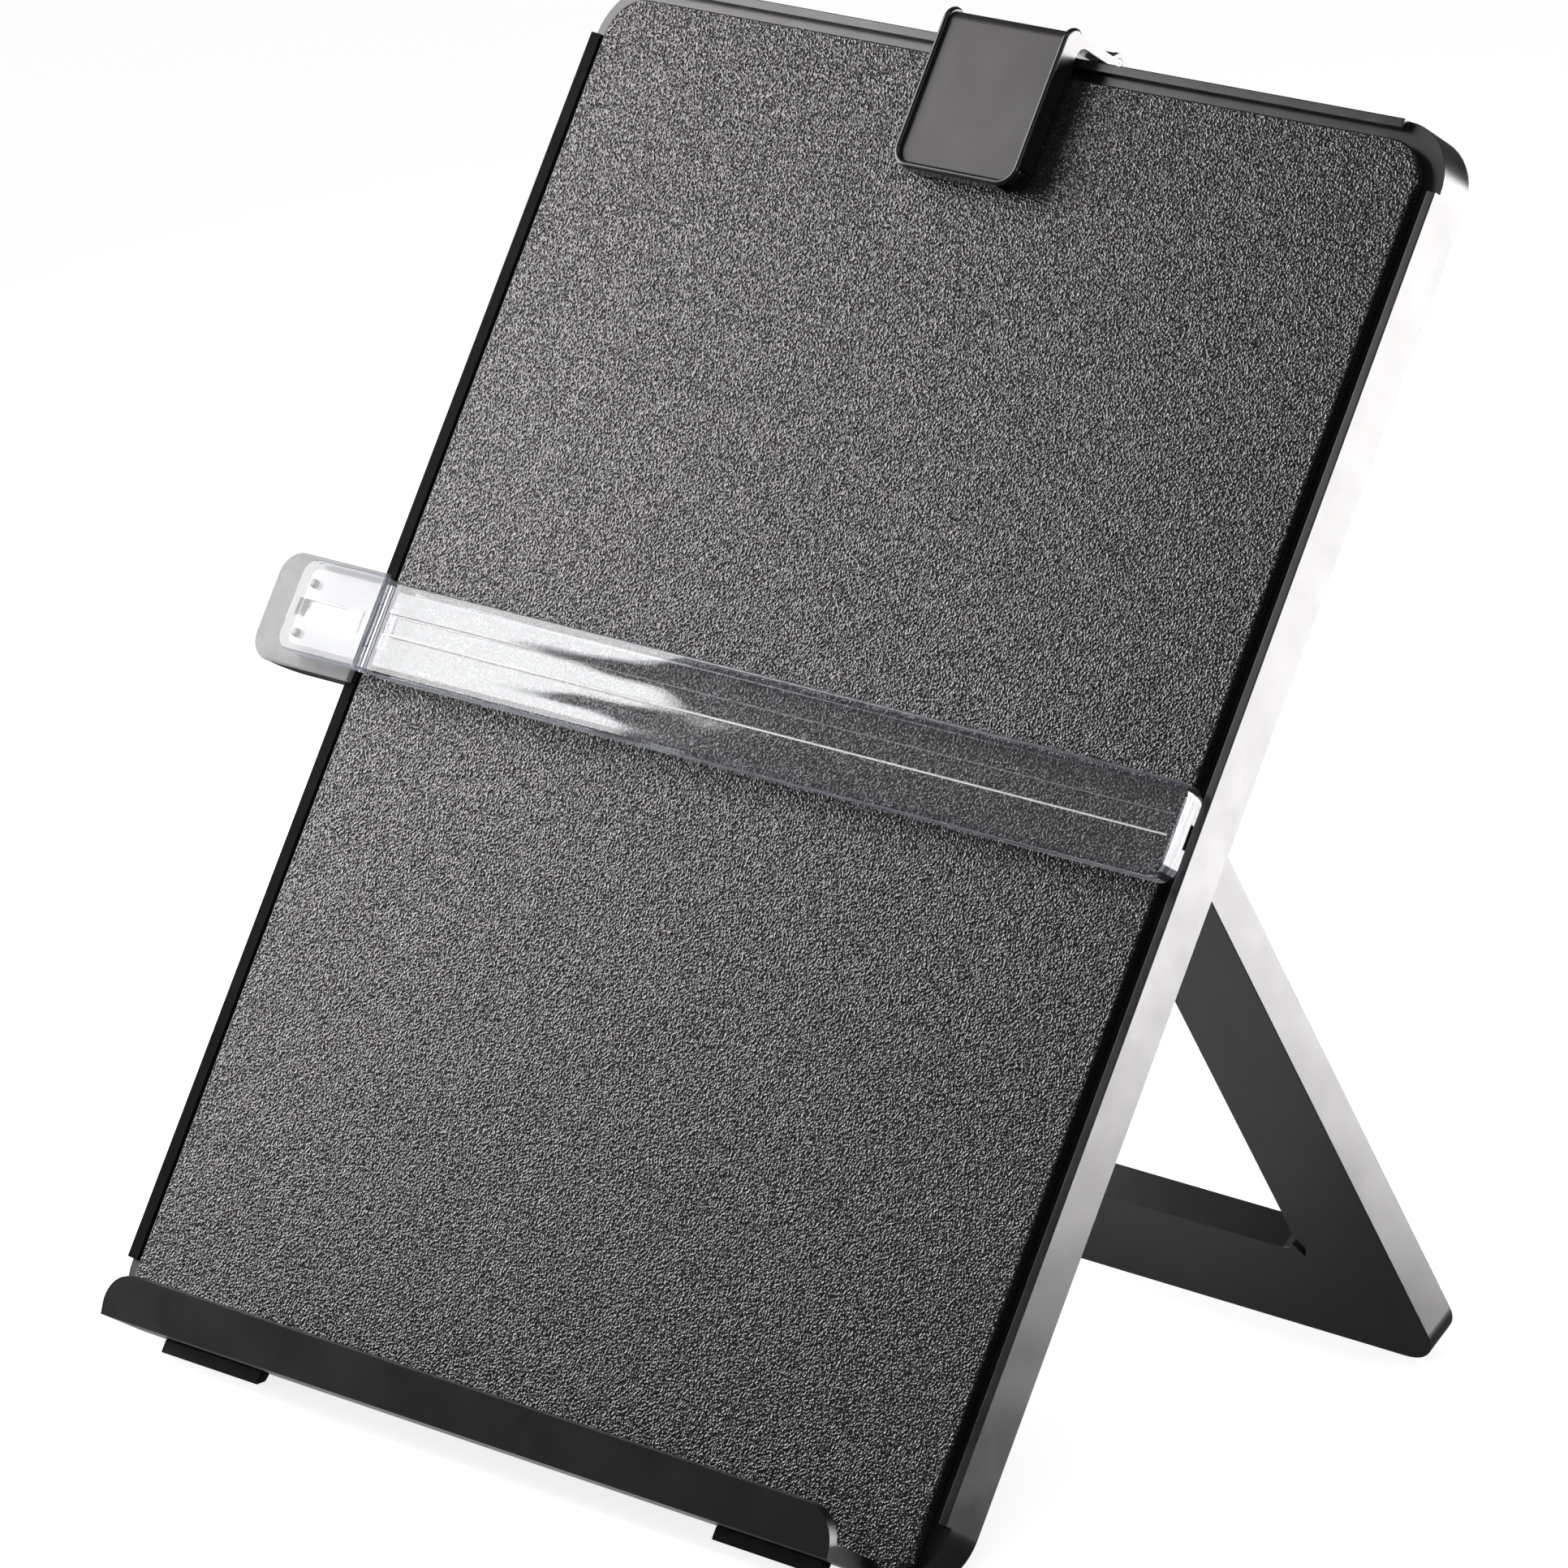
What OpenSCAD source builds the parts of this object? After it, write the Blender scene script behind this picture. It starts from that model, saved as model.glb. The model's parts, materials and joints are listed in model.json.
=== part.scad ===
// Copy holder with a sliding line guide and a sliding paper clip.
// The board leans back on a folding easel leg.  Board coordinates are used
// throughout: x runs across the board, y up its face from the bottom edge, and
// z out of its face from the back edge.  on_board() stands them up on the desk.

/* [Board] */
// Width of the board over its side walls
board_w = 232; // [200:1:280]
// Height of the board along its face
board_h = 307; // [280:1:360]
// Depth of the frame from its back edge to the flat rim
board_d = 9; // [8.8:0.1:14]
// Radius of the board's corners
corner_r = 13.6; // [8:0.1:20]
// Thickness of the side walls
wall_t = 2; // [1.6:0.1:3]
// Thickness of the flat rim inside the walls
rim_t = 2; // [1.2:0.1:3]
// Angle that the board leans back from upright
lean = 31; // [24:0.5:38]

/* [Rails] */
// Width of the raised rails along the edges
rail_w = 2.1; // [1.6:0.1:3]
// Height of the rails above the flat rim
rail_h = 1.8; // [1.2:0.1:2.4]

/* [Textured panel] */
// Distance from the board's edge to the panel's edge
border = 4.7; // [4.2:0.1:8]
// Thickness of the panel plate
panel_t = 2.8; // [2:0.1:4]
// Radius of the panel's upper corners
panel_r = 9; // [4:0.1:14]
// Distance from the board's bottom edge to the panel's bottom edge
panel_bottom = 0.5; // [0.5:0.1:2]
// Thickness of the ribs behind the panel
rib_t = 1.6; // [1:0.1:2.4]
// Height of the ribs behind the panel
rib_h = 2.4; // [1:0.1:4]

/* [Document ledge] */
// Distance from the board's edge to the end of the ledge
ledge_in = 13; // [9:0.5:30]
// Height of the shelf's upper face above the board's bottom edge
shelf_y = 3; // [2.6:0.1:5]
// Thickness of the shelf
shelf_t = 3.4; // [2.4:0.1:5]
// Depth of the trough between the panel and the lip
trough = 11.5; // [9:0.5:20]
// Height of the lip over its front face
lip_h = 10.2; // [8:0.1:16]
// Thickness of the lip
lip_t = 2.2; // [1.6:0.1:3.5]
// Angle that the lip tips forward
lip_tilt = 15; // [0:1:22]
// Radius of the lip's upper corners
lip_r = 7.4; // [2:0.1:7.8]
// Width of each tongue that fixes the ledge
tongue_w = 22; // [12:1:40]
// Thickness of the tongues
tongue_t = 1.4; // [1:0.1:1.6]
// Distance from the ledge's end to the outer tongues
tongue_in = 18; // [4:1:40]

/* [Feet] */
// Width of each foot
foot_w = 29; // [16:1:50]
// Distance from the ledge's end to each foot
foot_in = 9.5; // [2:0.5:40]
// Distance the foot's front face stands forward of the panel
foot_out = 2.7; // [1.6:0.1:6]
// Height of the foot's front face below the shelf
foot_h = 3.1; // [2:0.1:5]
// Distance from the foot's end to its peg
peg_in = 4; // [2:0.5:6]
// Thickness of the foot's peg
peg_t = 1.2; // [0.8:0.1:1.4]
// Height of the foot's peg above the shelf's underside
peg_h = 1.2; // [0.8:0.1:1.8]
// Depth of the foot's flat sole
sole_d = 2.5; // [1.5:0.1:3.5]

/* [Easel leg] */
// Width of the hinge blocks inside the side walls
block_w = 3.6; // [3:0.1:6]
// Length from the pivot to the end of the leg
leg_l = 155.7; // [130:0.1:158]
// Thickness of the leg frame
leg_t = 8.5; // [6:0.1:8.5]
// Width of the leg's side members
member_w = 27.5; // [16:0.5:40]
// Width of the leg's end bar
end_bar = 26.8; // [16:0.1:40]
// Width of the leg's bar below the pivot
top_bar = 22; // [12:0.5:40]
// Radius of the leg's outer corners
leg_r = 10; // [4:0.5:16]
// Radius of the window's corners
window_r = 4.5; // [2:0.5:10]
// Width of the shallow recess beside the window
recess_w = 10.5; // [4:0.5:14]
// Depth of the recess beside the window
recess_d = 0.8; // [0.3:0.1:1.5]
// Length of the heel's stop face
heel_l = 3.7; // [3:0.1:4.5]
// Height of the pivot up the board
pivot_y = 158.6; // [150:0.1:190]
// Radius of the pivot pins
pivot_pin_r = 2; // [1.5:0.1:2.4]
// Length of each pivot pin
pivot_pin_l = 15; // [10:0.5:24]
// Height of the hinge blocks along the board
block_h = 18; // [16:0.5:24]
// Distance between the two screws of a cap
cap_screw_gap = 12; // [9:0.5:14]
// Radius of the cap screws' heads
cap_head_r = 1.55; // [1.3:0.05:1.6]
// Radius of the cap screws' shanks
cap_screw_r = 0.9; // [0.7:0.05:1]

/* [Line guide] */
// Height of the guide's lower edge up the board, as it stands in use
guide_y = 145.9; // [40:0.1:150]
// Width of the guide strip up the board
guide_h = 20; // [16:0.5:26]
// Distance that the guide's end lies inside the board's edge
guide_end = 1; // [0:0.1:4]
// Height of the guide's upper face above the panel
guide_top = 5.6; // [5.2:0.1:8]
// Thickness of the guide's walls
guide_t = 1.5; // [1.2:0.1:2]
// Radius of the guide's corners
guide_r = 3.4; // [1.6:0.1:5]
// Width of the groove lines scribed in the guide
scribe_w = 0.5; // [0.3:0.05:0.8]
// Distance between the two scribed lines
scribe_gap = 4.4; // [3:0.1:8]
// Distance from the board's edge to the hinge axis
hinge_in = 8.6; // [8:0.1:12]
// Radius of the hinge barrel
barrel_r = 1.5; // [1.3:0.05:1.8]
// Radius of the hinge pin
hinge_pin_r = 0.7; // [0.5:0.05:0.8]

/* [Guide slider] */
// Distance that the thumb plate reaches beyond the board's edge
plate_out = 28.5; // [22:0.5:36]
// Height of the thumb plate
plate_h = 24.6; // [22:0.1:30]
// Thickness of the thumb plate
plate_t = 1.5; // [1.2:0.1:2.2]
// Radius of the thumb plate's corners
plate_r = 5.5; // [2:0.5:8]
// Distance that the cover reaches beyond the board's edge
cover_out = 17; // [14:0.5:20]
// Radius of the cover's corners
cover_r = 3.6; // [2:0.1:5]
// Length of the window slot in the cover
slot_l = 15; // [8:0.5:16]
// Distance from the cover's end to the window slot
slot_in = 2.2; // [2:0.1:4]
// Width of the window slot in the cover
slot_w = 3.8; // [3:0.1:5]
// Depth of the pocket that holds the brake spring
pocket_d = 0.9; // [0.8:0.05:1]
// Depth of the skirts under the thumb plate
skirt_d = 7.6; // [5:0.1:9]
// Thickness of the hook's wall and skirts
hook_t = 1.8; // [1.6:0.1:2.4]
// Radius of the rivets
rivet_r = 1; // [0.7:0.1:1.4]
// Distance between the rivets
rivet_gap = 11.2; // [10:0.1:12]
// Distance from the cover's end to the rivets
rivet_in = 3.9; // [3.5:0.1:6]
// Depth of the hook below the board's back edge
toe_t = 2; // [1.5:0.1:3]
// Width of the hook's toe along the board
toe_w = 16; // [8:0.5:20]
// Length of the brake spring
brake_l = 13.2; // [9:0.1:13.6]
// Width of the brake spring
brake_w = 3.8; // [2:0.1:4.6]
// Thickness of the brake spring's leaf
brake_t = 0.3; // [0.2:0.05:0.4]

/* [Paper clip] */
// Width of the clip
clip_w = 34; // [26:0.5:50]
// Length of the flap from its top to its lower edge
flap_l = 37; // [30:0.5:50]
// Height of the flap's rim above the panel
flap_top = 5.5; // [5.2:0.1:8]
// Depth of the flap's tray below its rim
tray_d = 1; // [0.5:0.1:1.4]
// Thickness of the clip's walls
clip_t = 1.6; // [1.2:0.1:2.2]
// Radius of the flap's lower corners
flap_r = 4.6; // [2:0.1:8]
// Depth of the flap's walls
flap_d = 4.6; // [3.6:0.1:4.8]
// Radius of the bend over the top of the board
bend_r = 5; // [4.8:0.1:7]
// Length of the carriage's back plate
back_plate_l = 22; // [12:0.5:28]
// Thickness of the carriage's plates
carriage_t = 1.6; // [1.2:0.1:2]
// Thickness of the carriage's ears
ear_t = 2; // [1.2:0.1:3]
// Length of the clip's spring
spring_l = 12; // [6:0.5:20]
// Thickness of the clip's grip pad
pad_t = 2.2; // [1.6:0.1:3]
// Thickness of the arm over the top of the board
arm_t = 3.6; // [3:0.1:5]
// Radius of the clip's pin
clip_pin_r = 1; // [0.7:0.05:1.1]
// Length of the press lever behind the board
lever_l = 27; // [20:0.5:34]
// Angle between the press lever and the board
lever_open = 26; // [22:0.5:32]
// Angle that the clip opens
clip_swing = 18; // [8:1:18]

/* [Fits] */
// Running clearance round pins
fit = 0.05; // [0.03:0.01:0.09]
// Gap between faces that slide
slide_gap = 0.3; // [0.2:0.05:0.4]
// Gap that keeps parts clear of the desk
desk_gap = 0.6; // [0.4:0.1:1.5]
// Gap on each side of the leg in the frame
leg_gap = 0.4; // [0.2:0.05:0.6]

/* [Hidden] */

$fn = 64;
eps = 0.01;
// A length beyond any part, for cuts that run right through
through = 400;

// Levels out of the board's face
rail_z = board_d + rail_h;
panel_z = board_d + panel_t;
half_w = board_w / 2;
panel_half = half_w - border;
inner_half = half_w - wall_t;
ledge_w = board_w - 2 * ledge_in;
foot_x = ledge_w / 2 - foot_in - foot_w / 2;
leg_w = board_w - 2 * (wall_t + block_w + leg_gap);

// Ledge
shelf_bottom = shelf_y - shelf_t;
lip_z = panel_z + trough;

// Desk plane in board coordinates: y * cos(lean) + z * sin(lean) = desk
foot_z = panel_z + foot_out;
sole_y = shelf_bottom - foot_h;
desk = sole_y * cos(lean) + foot_z * sin(lean);

// Leg: the pivot lies at half the leg's thickness in from the back edge
pivot_z = leg_t / 2;
pivot_height = pivot_y * cos(lean) + pivot_z * sin(lean) - desk;
leg_reach = sqrt(pow(leg_l, 2) + pow(leg_t / 2, 2));
leg_swing = atan2(leg_t / 2, leg_l) + acos(pivot_height / leg_reach);
leg_open = leg_swing + lean;
// Distance from the pivot to the heel face that stops on the panel's back
heel = board_d - pivot_z - 0.03;
window_half = leg_w / 2 - member_w;
block_in = leg_w / 2 + leg_gap;

// Where the whole object sits: bottom centre of its box on the origin
rear_y = pivot_y * sin(lean) - pivot_z * cos(lean)
    + leg_l * sin(leg_swing) + leg_t / 2 * cos(leg_swing);
front_y = shelf_bottom * sin(lean)
    - (lip_z + lip_t / cos(lip_tilt)) * cos(lean);
shift_x = plate_out / 2;
shift_y = -(rear_y + front_y) / 2;

// Guide
guide_z = panel_z + guide_top;
guide_back = panel_z + slide_gap;
guide_left = -half_w + hinge_in;
guide_right = half_w - guide_end;
guide_mid = guide_y + guide_h / 2;
hinge_z = guide_z - barrel_r;
knuckle_l = guide_h * 0.46;
knuckle_gap = 0.3;

// Slider
plate_z = rail_z + slide_gap;
cover_right = guide_left - barrel_r - 0.3;
cover_left = -half_w - cover_out;
hook_in = -half_w - slide_gap;
toe_z = -slide_gap - toe_t;

// Clip
flap_z = panel_z + flap_top;
clip_half = clip_w / 2;
arm_y = board_h + 2.3;
arm_top = arm_y + arm_t;
flap_bottom = arm_top - flap_l;
clip_pin_y = arm_y + arm_t / 2 - 0.4;
clip_pin_z = -1;
carriage_half = clip_half - clip_t - 0.4;
coil_r = clip_pin_r + 1.1;
// Where the spring's fixed leg enters the carriage
spring_x = spring_l / 2 - 0.6;
spring_y = board_h - 0.2;

module on_board() {
    translate([shift_x, shift_y, -desk]) rotate([90 - lean, 0, 0]) children();
}

// Keeps children above a plane parallel to the desk
module above_desk(gap) {
    difference() {
        children();
        rotate([-(90 - lean), 0, 0])
            translate([-through, -through, desk + gap - through])
                cube([2 * through, 2 * through, through]);
    }
}

module rounded_rect(x0, y0, x1, y1, r) {
    translate([x0 + r, y0]) square([x1 - x0 - 2 * r, y1 - y0]);
    translate([x0, y0 + r]) square([x1 - x0, y1 - y0 - 2 * r]);
    for (x = [x0 + r, x1 - r], y = [y0 + r, y1 - r]) {
        translate([x, y]) circle(r);
    }
}

// The board's outline drawn in by a distance
module board_outline(inset) {
    rounded_rect(-half_w + inset, inset, half_w - inset, board_h - inset,
        corner_r - inset);
}

// A bar along x with a profile in y and z
module bar_x(x0, x1) {
    translate([x0, 0, 0]) rotate([90, 0, 90])
        linear_extrude(x1 - x0) children();
}

// Placement of the leg's own frame: x across, -y towards its end, z its front
module on_leg(angle) {
    translate([0, pivot_y, pivot_z]) rotate([angle, 0, 0]) children();
}

// Flat panel outline: rounded above, and inside the board's outline below
module panel_plate(z0, z1) {
    intersection() {
        translate([0, 0, z0]) linear_extrude(z1 - z0)
            rounded_rect(-panel_half, panel_bottom, panel_half,
                board_h - border, panel_r);
        translate([0, 0, z0]) linear_extrude(z1 - z0) board_outline(1);
    }
    intersection() {
        translate([-panel_half, panel_bottom, z0])
            cube([2 * panel_half, 2 * panel_r, z1 - z0]);
        translate([0, 0, z0]) linear_extrude(z1 - z0) board_outline(1);
    }
}

module side_rail(x) {
    translate([x, corner_r, board_d - eps])
        cube([rail_w, board_h - 2 * corner_r, rail_h + eps]);
}

// Fixed half of a leg bearing, moulded inside a side wall
module hinge_saddle(side) {
    x0 = side > 0 ? block_in : -inner_half - eps;
    translate([x0, pivot_y - block_h / 2, pivot_z])
        cube([inner_half - block_in + eps, block_h,
            board_d - pivot_z - rim_t / 2]);
}

module pin_hole_x(r) {
    translate([-half_w + 1, pivot_y, pivot_z]) rotate([0, 90, 0])
        cylinder(r = r, h = board_w - 2);
}

module cap_screw_sites() {
    for (side = [-1, 1], row = [-1, 1]) {
        translate([side * (block_in + inner_half) / 2,
            pivot_y + row * cap_screw_gap / 2, 0]) children();
    }
}

module board_frame() {
    color("#1c1b1b") on_board() above_desk(desk_gap) {
        difference() {
            union() {
                difference() {
                    linear_extrude(board_d) board_outline(0);
                    translate([0, 0, -eps])
                        linear_extrude(board_d - rim_t + eps)
                            board_outline(wall_t);
                    // The folded leg's end comes out through the bottom
                    translate([-leg_w / 2 - 0.4, -through + corner_r, -eps])
                        cube([leg_w + 0.8, through, board_d - rim_t + eps]);
                    // Opening behind the panel
                    translate([0, 0, -eps]) linear_extrude(board_d + 1)
                        rounded_rect(-block_in, 2.4, block_in,
                            board_h - border - 3, corner_r - 5);
                }
                side_rail(-half_w);
                side_rail(half_w - rail_w);
                translate([-half_w + corner_r, board_h - rail_w,
                    board_d - eps])
                    cube([board_w - 2 * corner_r, rail_w, rail_h + eps]);
                hinge_saddle(-1);
                hinge_saddle(1);
            }
            pin_hole_x(pivot_pin_r + fit);
            cap_screw_sites() translate([0, 0, pivot_z - eps])
                cylinder(r = cap_screw_r, h = 2.6 + eps);
        }
    }
}

module front_panel() {
    rib_bottom = pivot_y - leg_l + end_bar + 5;
    rib_top = pivot_y - top_bar - 5;
    upper_bottom = pivot_y + 12;
    upper_top = board_h - border - 10;
    rib_half = window_half - 5;
    color("#38383a") on_board() above_desk(desk_gap) difference() {
        union() {
            panel_plate(board_d, panel_z);
            // Ribs inside the folded leg's window
            for (x = [-rib_half, -rib_t / 2, rib_half - rib_t]) {
                translate([x, rib_bottom, board_d - rib_h])
                    cube([rib_t, rib_top - rib_bottom, rib_h + eps]);
            }
            for (y = [rib_bottom, (rib_bottom + rib_top - rib_t) / 2,
                rib_top - rib_t]) {
                translate([-rib_half, y, board_d - rib_h])
                    cube([2 * rib_half, rib_t, rib_h + eps]);
            }
            // Ribs above the leg
            for (x = [-rib_half, -rib_t / 2, rib_half - rib_t]) {
                translate([x, upper_bottom, board_d - rib_h])
                    cube([rib_t, upper_top - upper_bottom, rib_h + eps]);
            }
            for (y = [upper_bottom, (upper_bottom + upper_top - rib_t) / 2,
                upper_top - rib_t]) {
                translate([-rib_half, y, board_d - rib_h])
                    cube([2 * rib_half, rib_t, rib_h + eps]);
            }
        }
        ledge_tongues(slide_gap / 4);
    }
}

// Tongues that pass through the panel's foot, grown by a clearance
module ledge_tongues(grow) {
    side_x = ledge_w / 2 - tongue_in - tongue_w / 2;
    y0 = shelf_y - 0.4 - tongue_t;
    z0 = board_d + 0.1 - 2 * grow;
    for (x = [-side_x, 0, side_x]) {
        translate([x - tongue_w / 2 - grow, y0 - grow, z0])
            cube([tongue_w + 2 * grow, tongue_t + 2 * grow, panel_t + 1]);
    }
}

module document_ledge() {
    half = ledge_w / 2;
    color("#232122") on_board() difference() {
        union() {
            bar_x(-half, half) ledge_profile();
            ledge_tongues(0);
        }
        foot_pegs(fit);
        // Round the lip's upper corners
        translate([0, shelf_bottom, lip_z]) rotate([lip_tilt, 0, 0])
            for (side = [-1, 1]) {
                lip_corner(side * half, side);
            }
    }
}

// Shelf and forward-tipped lip in one outline
module ledge_profile() {
    run = [cos(lip_tilt), sin(lip_tilt)];
    rise = [-sin(lip_tilt), cos(lip_tilt)];
    foot = [shelf_bottom, lip_z];
    polygon([
        [shelf_bottom, panel_z + 0.05],
        [shelf_y, panel_z + 0.05],
        [shelf_y, lip_z + shelf_t * tan(lip_tilt)],
        foot + lip_h * run,
        foot + lip_h * run + lip_t * rise,
        [shelf_bottom, lip_z + lip_t / cos(lip_tilt)]]);
}

// What is cut away outside a round upper corner of the lip
module lip_corner(x, side) {
    translate([x, lip_h, -1]) difference() {
        translate([side > 0 ? -lip_r : -2, -lip_r, 0])
            cube([lip_r + 2, lip_r + 2, lip_t + 2]);
        translate([-side * lip_r, -lip_r, -1])
            cylinder(r = lip_r, h = lip_t + 4);
    }
}

module foot_pegs(grow) {
    for (side = [-1, 1]) {
        translate([side * foot_x - foot_w / 2 + peg_in - grow,
            shelf_bottom - 1, foot_z - peg_t - 0.7 - grow])
            cube([foot_w - 2 * peg_in + 2 * grow, peg_h + 1 + grow,
                peg_t + 2 * grow]);
    }
}

module foot(side) {
    back_y = sole_y + sole_d * sin(lean);
    back_z = foot_z - sole_d * cos(lean);
    color("#171717") on_board() {
        bar_x(side * foot_x - foot_w / 2, side * foot_x + foot_w / 2)
            polygon([
                [shelf_bottom, foot_z],
                [sole_y, foot_z],
                [back_y, back_z],
                [shelf_bottom, panel_z + 0.1]]);
        intersection() {
            foot_pegs(0);
            translate([side * foot_x - foot_w, -through, -through])
                cube([2 * foot_w, 2 * through, 2 * through]);
        }
    }
}

module foot_left() foot(-1);
module foot_right() foot(1);

module hinge_cap(side) {
    x0 = side > 0 ? block_in : -inner_half + 0.1;
    color("#262626") on_board() difference() {
        translate([x0, pivot_y - block_h / 2, 0.5])
            cube([inner_half - block_in - 0.1, block_h, pivot_z - 0.5]);
        pin_hole_x(pivot_pin_r + fit);
        cap_screw_sites() {
            cylinder(r = cap_screw_r + fit, h = board_d);
            translate([0, 0, -1])
                cylinder(r = cap_head_r + fit, h = 2.4);
        }
    }
}

module hinge_cap_left() hinge_cap(-1);
module hinge_cap_right() hinge_cap(1);

module hinge_cap_screws() {
    color("silver") on_board() cap_screw_sites() difference() {
        union() {
            translate([0, 0, 0.6]) cylinder(r = cap_head_r, h = 0.8);
            translate([0, 0, 0.7]) cylinder(r = cap_screw_r, h = pivot_z + 1.6);
        }
        translate([-0.8, -0.15, 0.5]) cube([1.6, 0.3, 0.4]);
    }
}

// Profile of the leg through its thickness.  The heel's sloping face lies
// along the panel's back when the leg is open, and stops it there.
module leg_profile() {
    r = leg_t / 2;
    heel_low = heel_l * sin(leg_open) - heel * cos(leg_open);
    heel_end = heel * sin(leg_open) + heel_l * cos(leg_open);
    circle(r);
    polygon([
        [-leg_l, -r],
        [heel_end - 1, -r],
        [heel_end, 1 - r],
        [heel_end, -heel_low],
        [heel * sin(leg_open), heel * cos(leg_open)],
        [0, 0],
        [0, r],
        [-leg_l, r]]);
}

module leg_frame() {
    half = leg_w / 2;
    end = -leg_l;
    color("#2a2726") on_board() on_leg(leg_open) difference() {
        intersection() {
            bar_x(-half, half) leg_profile();
            translate([0, 0, -leg_t]) linear_extrude(2 * leg_t)
                rounded_rect(-half, end, half, 4 * leg_t, leg_r);
        }
        translate([0, 0, -leg_t]) linear_extrude(2 * leg_t)
            rounded_rect(-window_half, end + end_bar, window_half, -top_bar,
                window_r);
        for (side = [-1, 1]) {
            leg_recess(side);
            translate([side * (half - pivot_pin_l + 3.2), 0, 0])
                rotate([0, side * 90, 0])
                    cylinder(r = pivot_pin_r, h = pivot_pin_l);
        }
    }
}

// Shallow recess along a side member, cut off aslant at its lower end
module leg_recess(side) {
    low = -leg_l + end_bar;
    translate([0, 0, leg_t / 2 - recess_d]) linear_extrude(leg_t) polygon([
        [side * (window_half - 1), -top_bar],
        [side * (window_half + recess_w), -top_bar],
        [side * (window_half + recess_w), low + recess_w * 1.6],
        [side * (window_half + recess_w * 0.15), low - 1],
        [side * (window_half - 1), low + 3]]);
}

module leg_pivot_pins() {
    color("silver") on_board() on_leg(leg_open) for (side = [-1, 1]) {
        translate([side * (leg_w / 2 - pivot_pin_l + 3.2), 0, 0])
            rotate([0, side * 90, 0])
                cylinder(r = pivot_pin_r, h = pivot_pin_l);
    }
}

module rivet_sites() {
    for (y = [-rivet_gap / 2, rivet_gap / 2]) {
        translate([cover_left + rivet_in, guide_mid + y, 0]) children();
    }
}

// Thumb plate: lies on the rail and reaches out past the board's edge
module thumb_plate() {
    color([0.78, 0.79, 0.8, 0.6]) on_board() difference() {
        translate([0, 0, plate_z]) linear_extrude(plate_t) {
            intersection() {
                rounded_rect(-half_w - plate_out, guide_mid - plate_h / 2,
                    -half_w + 2 * plate_r, guide_mid + plate_h / 2, plate_r);
                translate([-half_w - plate_out, guide_mid - plate_h / 2])
                    square([plate_out + rail_w, plate_h]);
            }
        }
        rivet_sites() cylinder(r = rivet_r + fit, h = through);
        window_slot();
    }
}

module window_slot() {
    translate([cover_left + slot_in, guide_mid - slot_w / 2, 0])
        cube([slot_l, slot_w, through]);
}

// Hook under the plate: a wall beside the board, a toe behind the board's
// edge, and skirts and posts that carry the plate
module slider_hook() {
    low = guide_mid - plate_h / 2 + 0.3;
    wall_x = hook_in - hook_t;
    post_r = rivet_r + 0.8;
    color([0.35, 0.36, 0.37, 0.7]) on_board() difference() {
        union() {
            translate([wall_x, low, toe_z])
                cube([hook_t, plate_h - 0.6, plate_z - toe_z]);
            translate([wall_x, guide_mid - toe_w / 2, toe_z])
                cube([hook_t + slide_gap + wall_t + 0.6, toe_w, toe_t]);
            for (y = [low, low + plate_h - 0.6 - hook_t]) {
                translate([0, y + hook_t, 0]) rotate([90, 0, 0])
                    linear_extrude(hook_t) skirt();
            }
            rivet_sites() {
                translate([0, 0, plate_z - 5]) cylinder(r = post_r, h = 5);
                translate([0, -hook_t / 2, plate_z - 4])
                    cube([wall_x - cover_left - rivet_in + 0.5, hook_t, 4]);
            }
        }
        rivet_sites() translate([0, 0, plate_z - 4])
            cylinder(r = rivet_r + fit, h = 5);
        translate([hook_in - pocket_d, guide_mid - brake_l / 2 - 0.4, 2])
            cube([pocket_d + eps, brake_l + 0.8, brake_w + 1.2]);
    }
}

// Outline of a skirt in x and z, rounded up towards the plate's outer end
module skirt() {
    x0 = -half_w - plate_out + 3.2;
    x1 = hook_in - hook_t + 0.5;
    intersection() {
        translate([x0, plate_z - skirt_d]) square([x1 - x0, skirt_d]);
        union() {
            translate([x0 + skirt_d, plate_z - skirt_d])
                square([x1 - x0 - skirt_d, skirt_d]);
            translate([x0 + skirt_d, plate_z]) circle(skirt_d);
        }
    }
}

module slider_cover() {
    z0 = plate_z + plate_t;
    y0 = guide_y + 0.3;
    y1 = guide_y + guide_h + 0.7;
    color([0.93, 0.94, 0.95, 0.5]) on_board() difference() {
        union() {
            difference() {
                translate([0, 0, z0]) linear_extrude(guide_z - z0)
                    intersection() {
                        rounded_rect(cover_left, y0, cover_right + 2 * cover_r, y1,
                            cover_r);
                        translate([cover_left, y0])
                            square([cover_right - cover_left, y1 - y0]);
                    }
                translate([0, 0, z0 - eps])
                    linear_extrude(guide_z - z0 - guide_t + eps)
                        intersection() {
                            rounded_rect(cover_left + guide_t, y0 + guide_t,
                                cover_right + 2 * cover_r, y1 - guide_t,
                                cover_r - guide_t);
                            translate([cover_left, y0])
                                square([cover_right - cover_left - guide_t,
                                    y1 - y0]);
                        }
            }
            rivet_sites() translate([0, 0, z0])
                cylinder(r = rivet_r + 1, h = guide_z - z0 - 0.5);
            // Outer knuckles of the hinge
            for (y = [guide_mid - guide_h / 2 + 2 * knuckle_gap,
                guide_mid + knuckle_l / 2 + knuckle_gap]) {
                knuckle(y, (guide_h - knuckle_l) / 2 - 3 * knuckle_gap, -1);
            }
        }
        rivet_sites() cylinder(r = rivet_r + fit, h = through);
        translate([guide_left, 0, hinge_z]) rotate([-90, 0, 0])
            cylinder(r = hinge_pin_r + fit, h = board_h);
        window_slot();
    }
}

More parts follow.
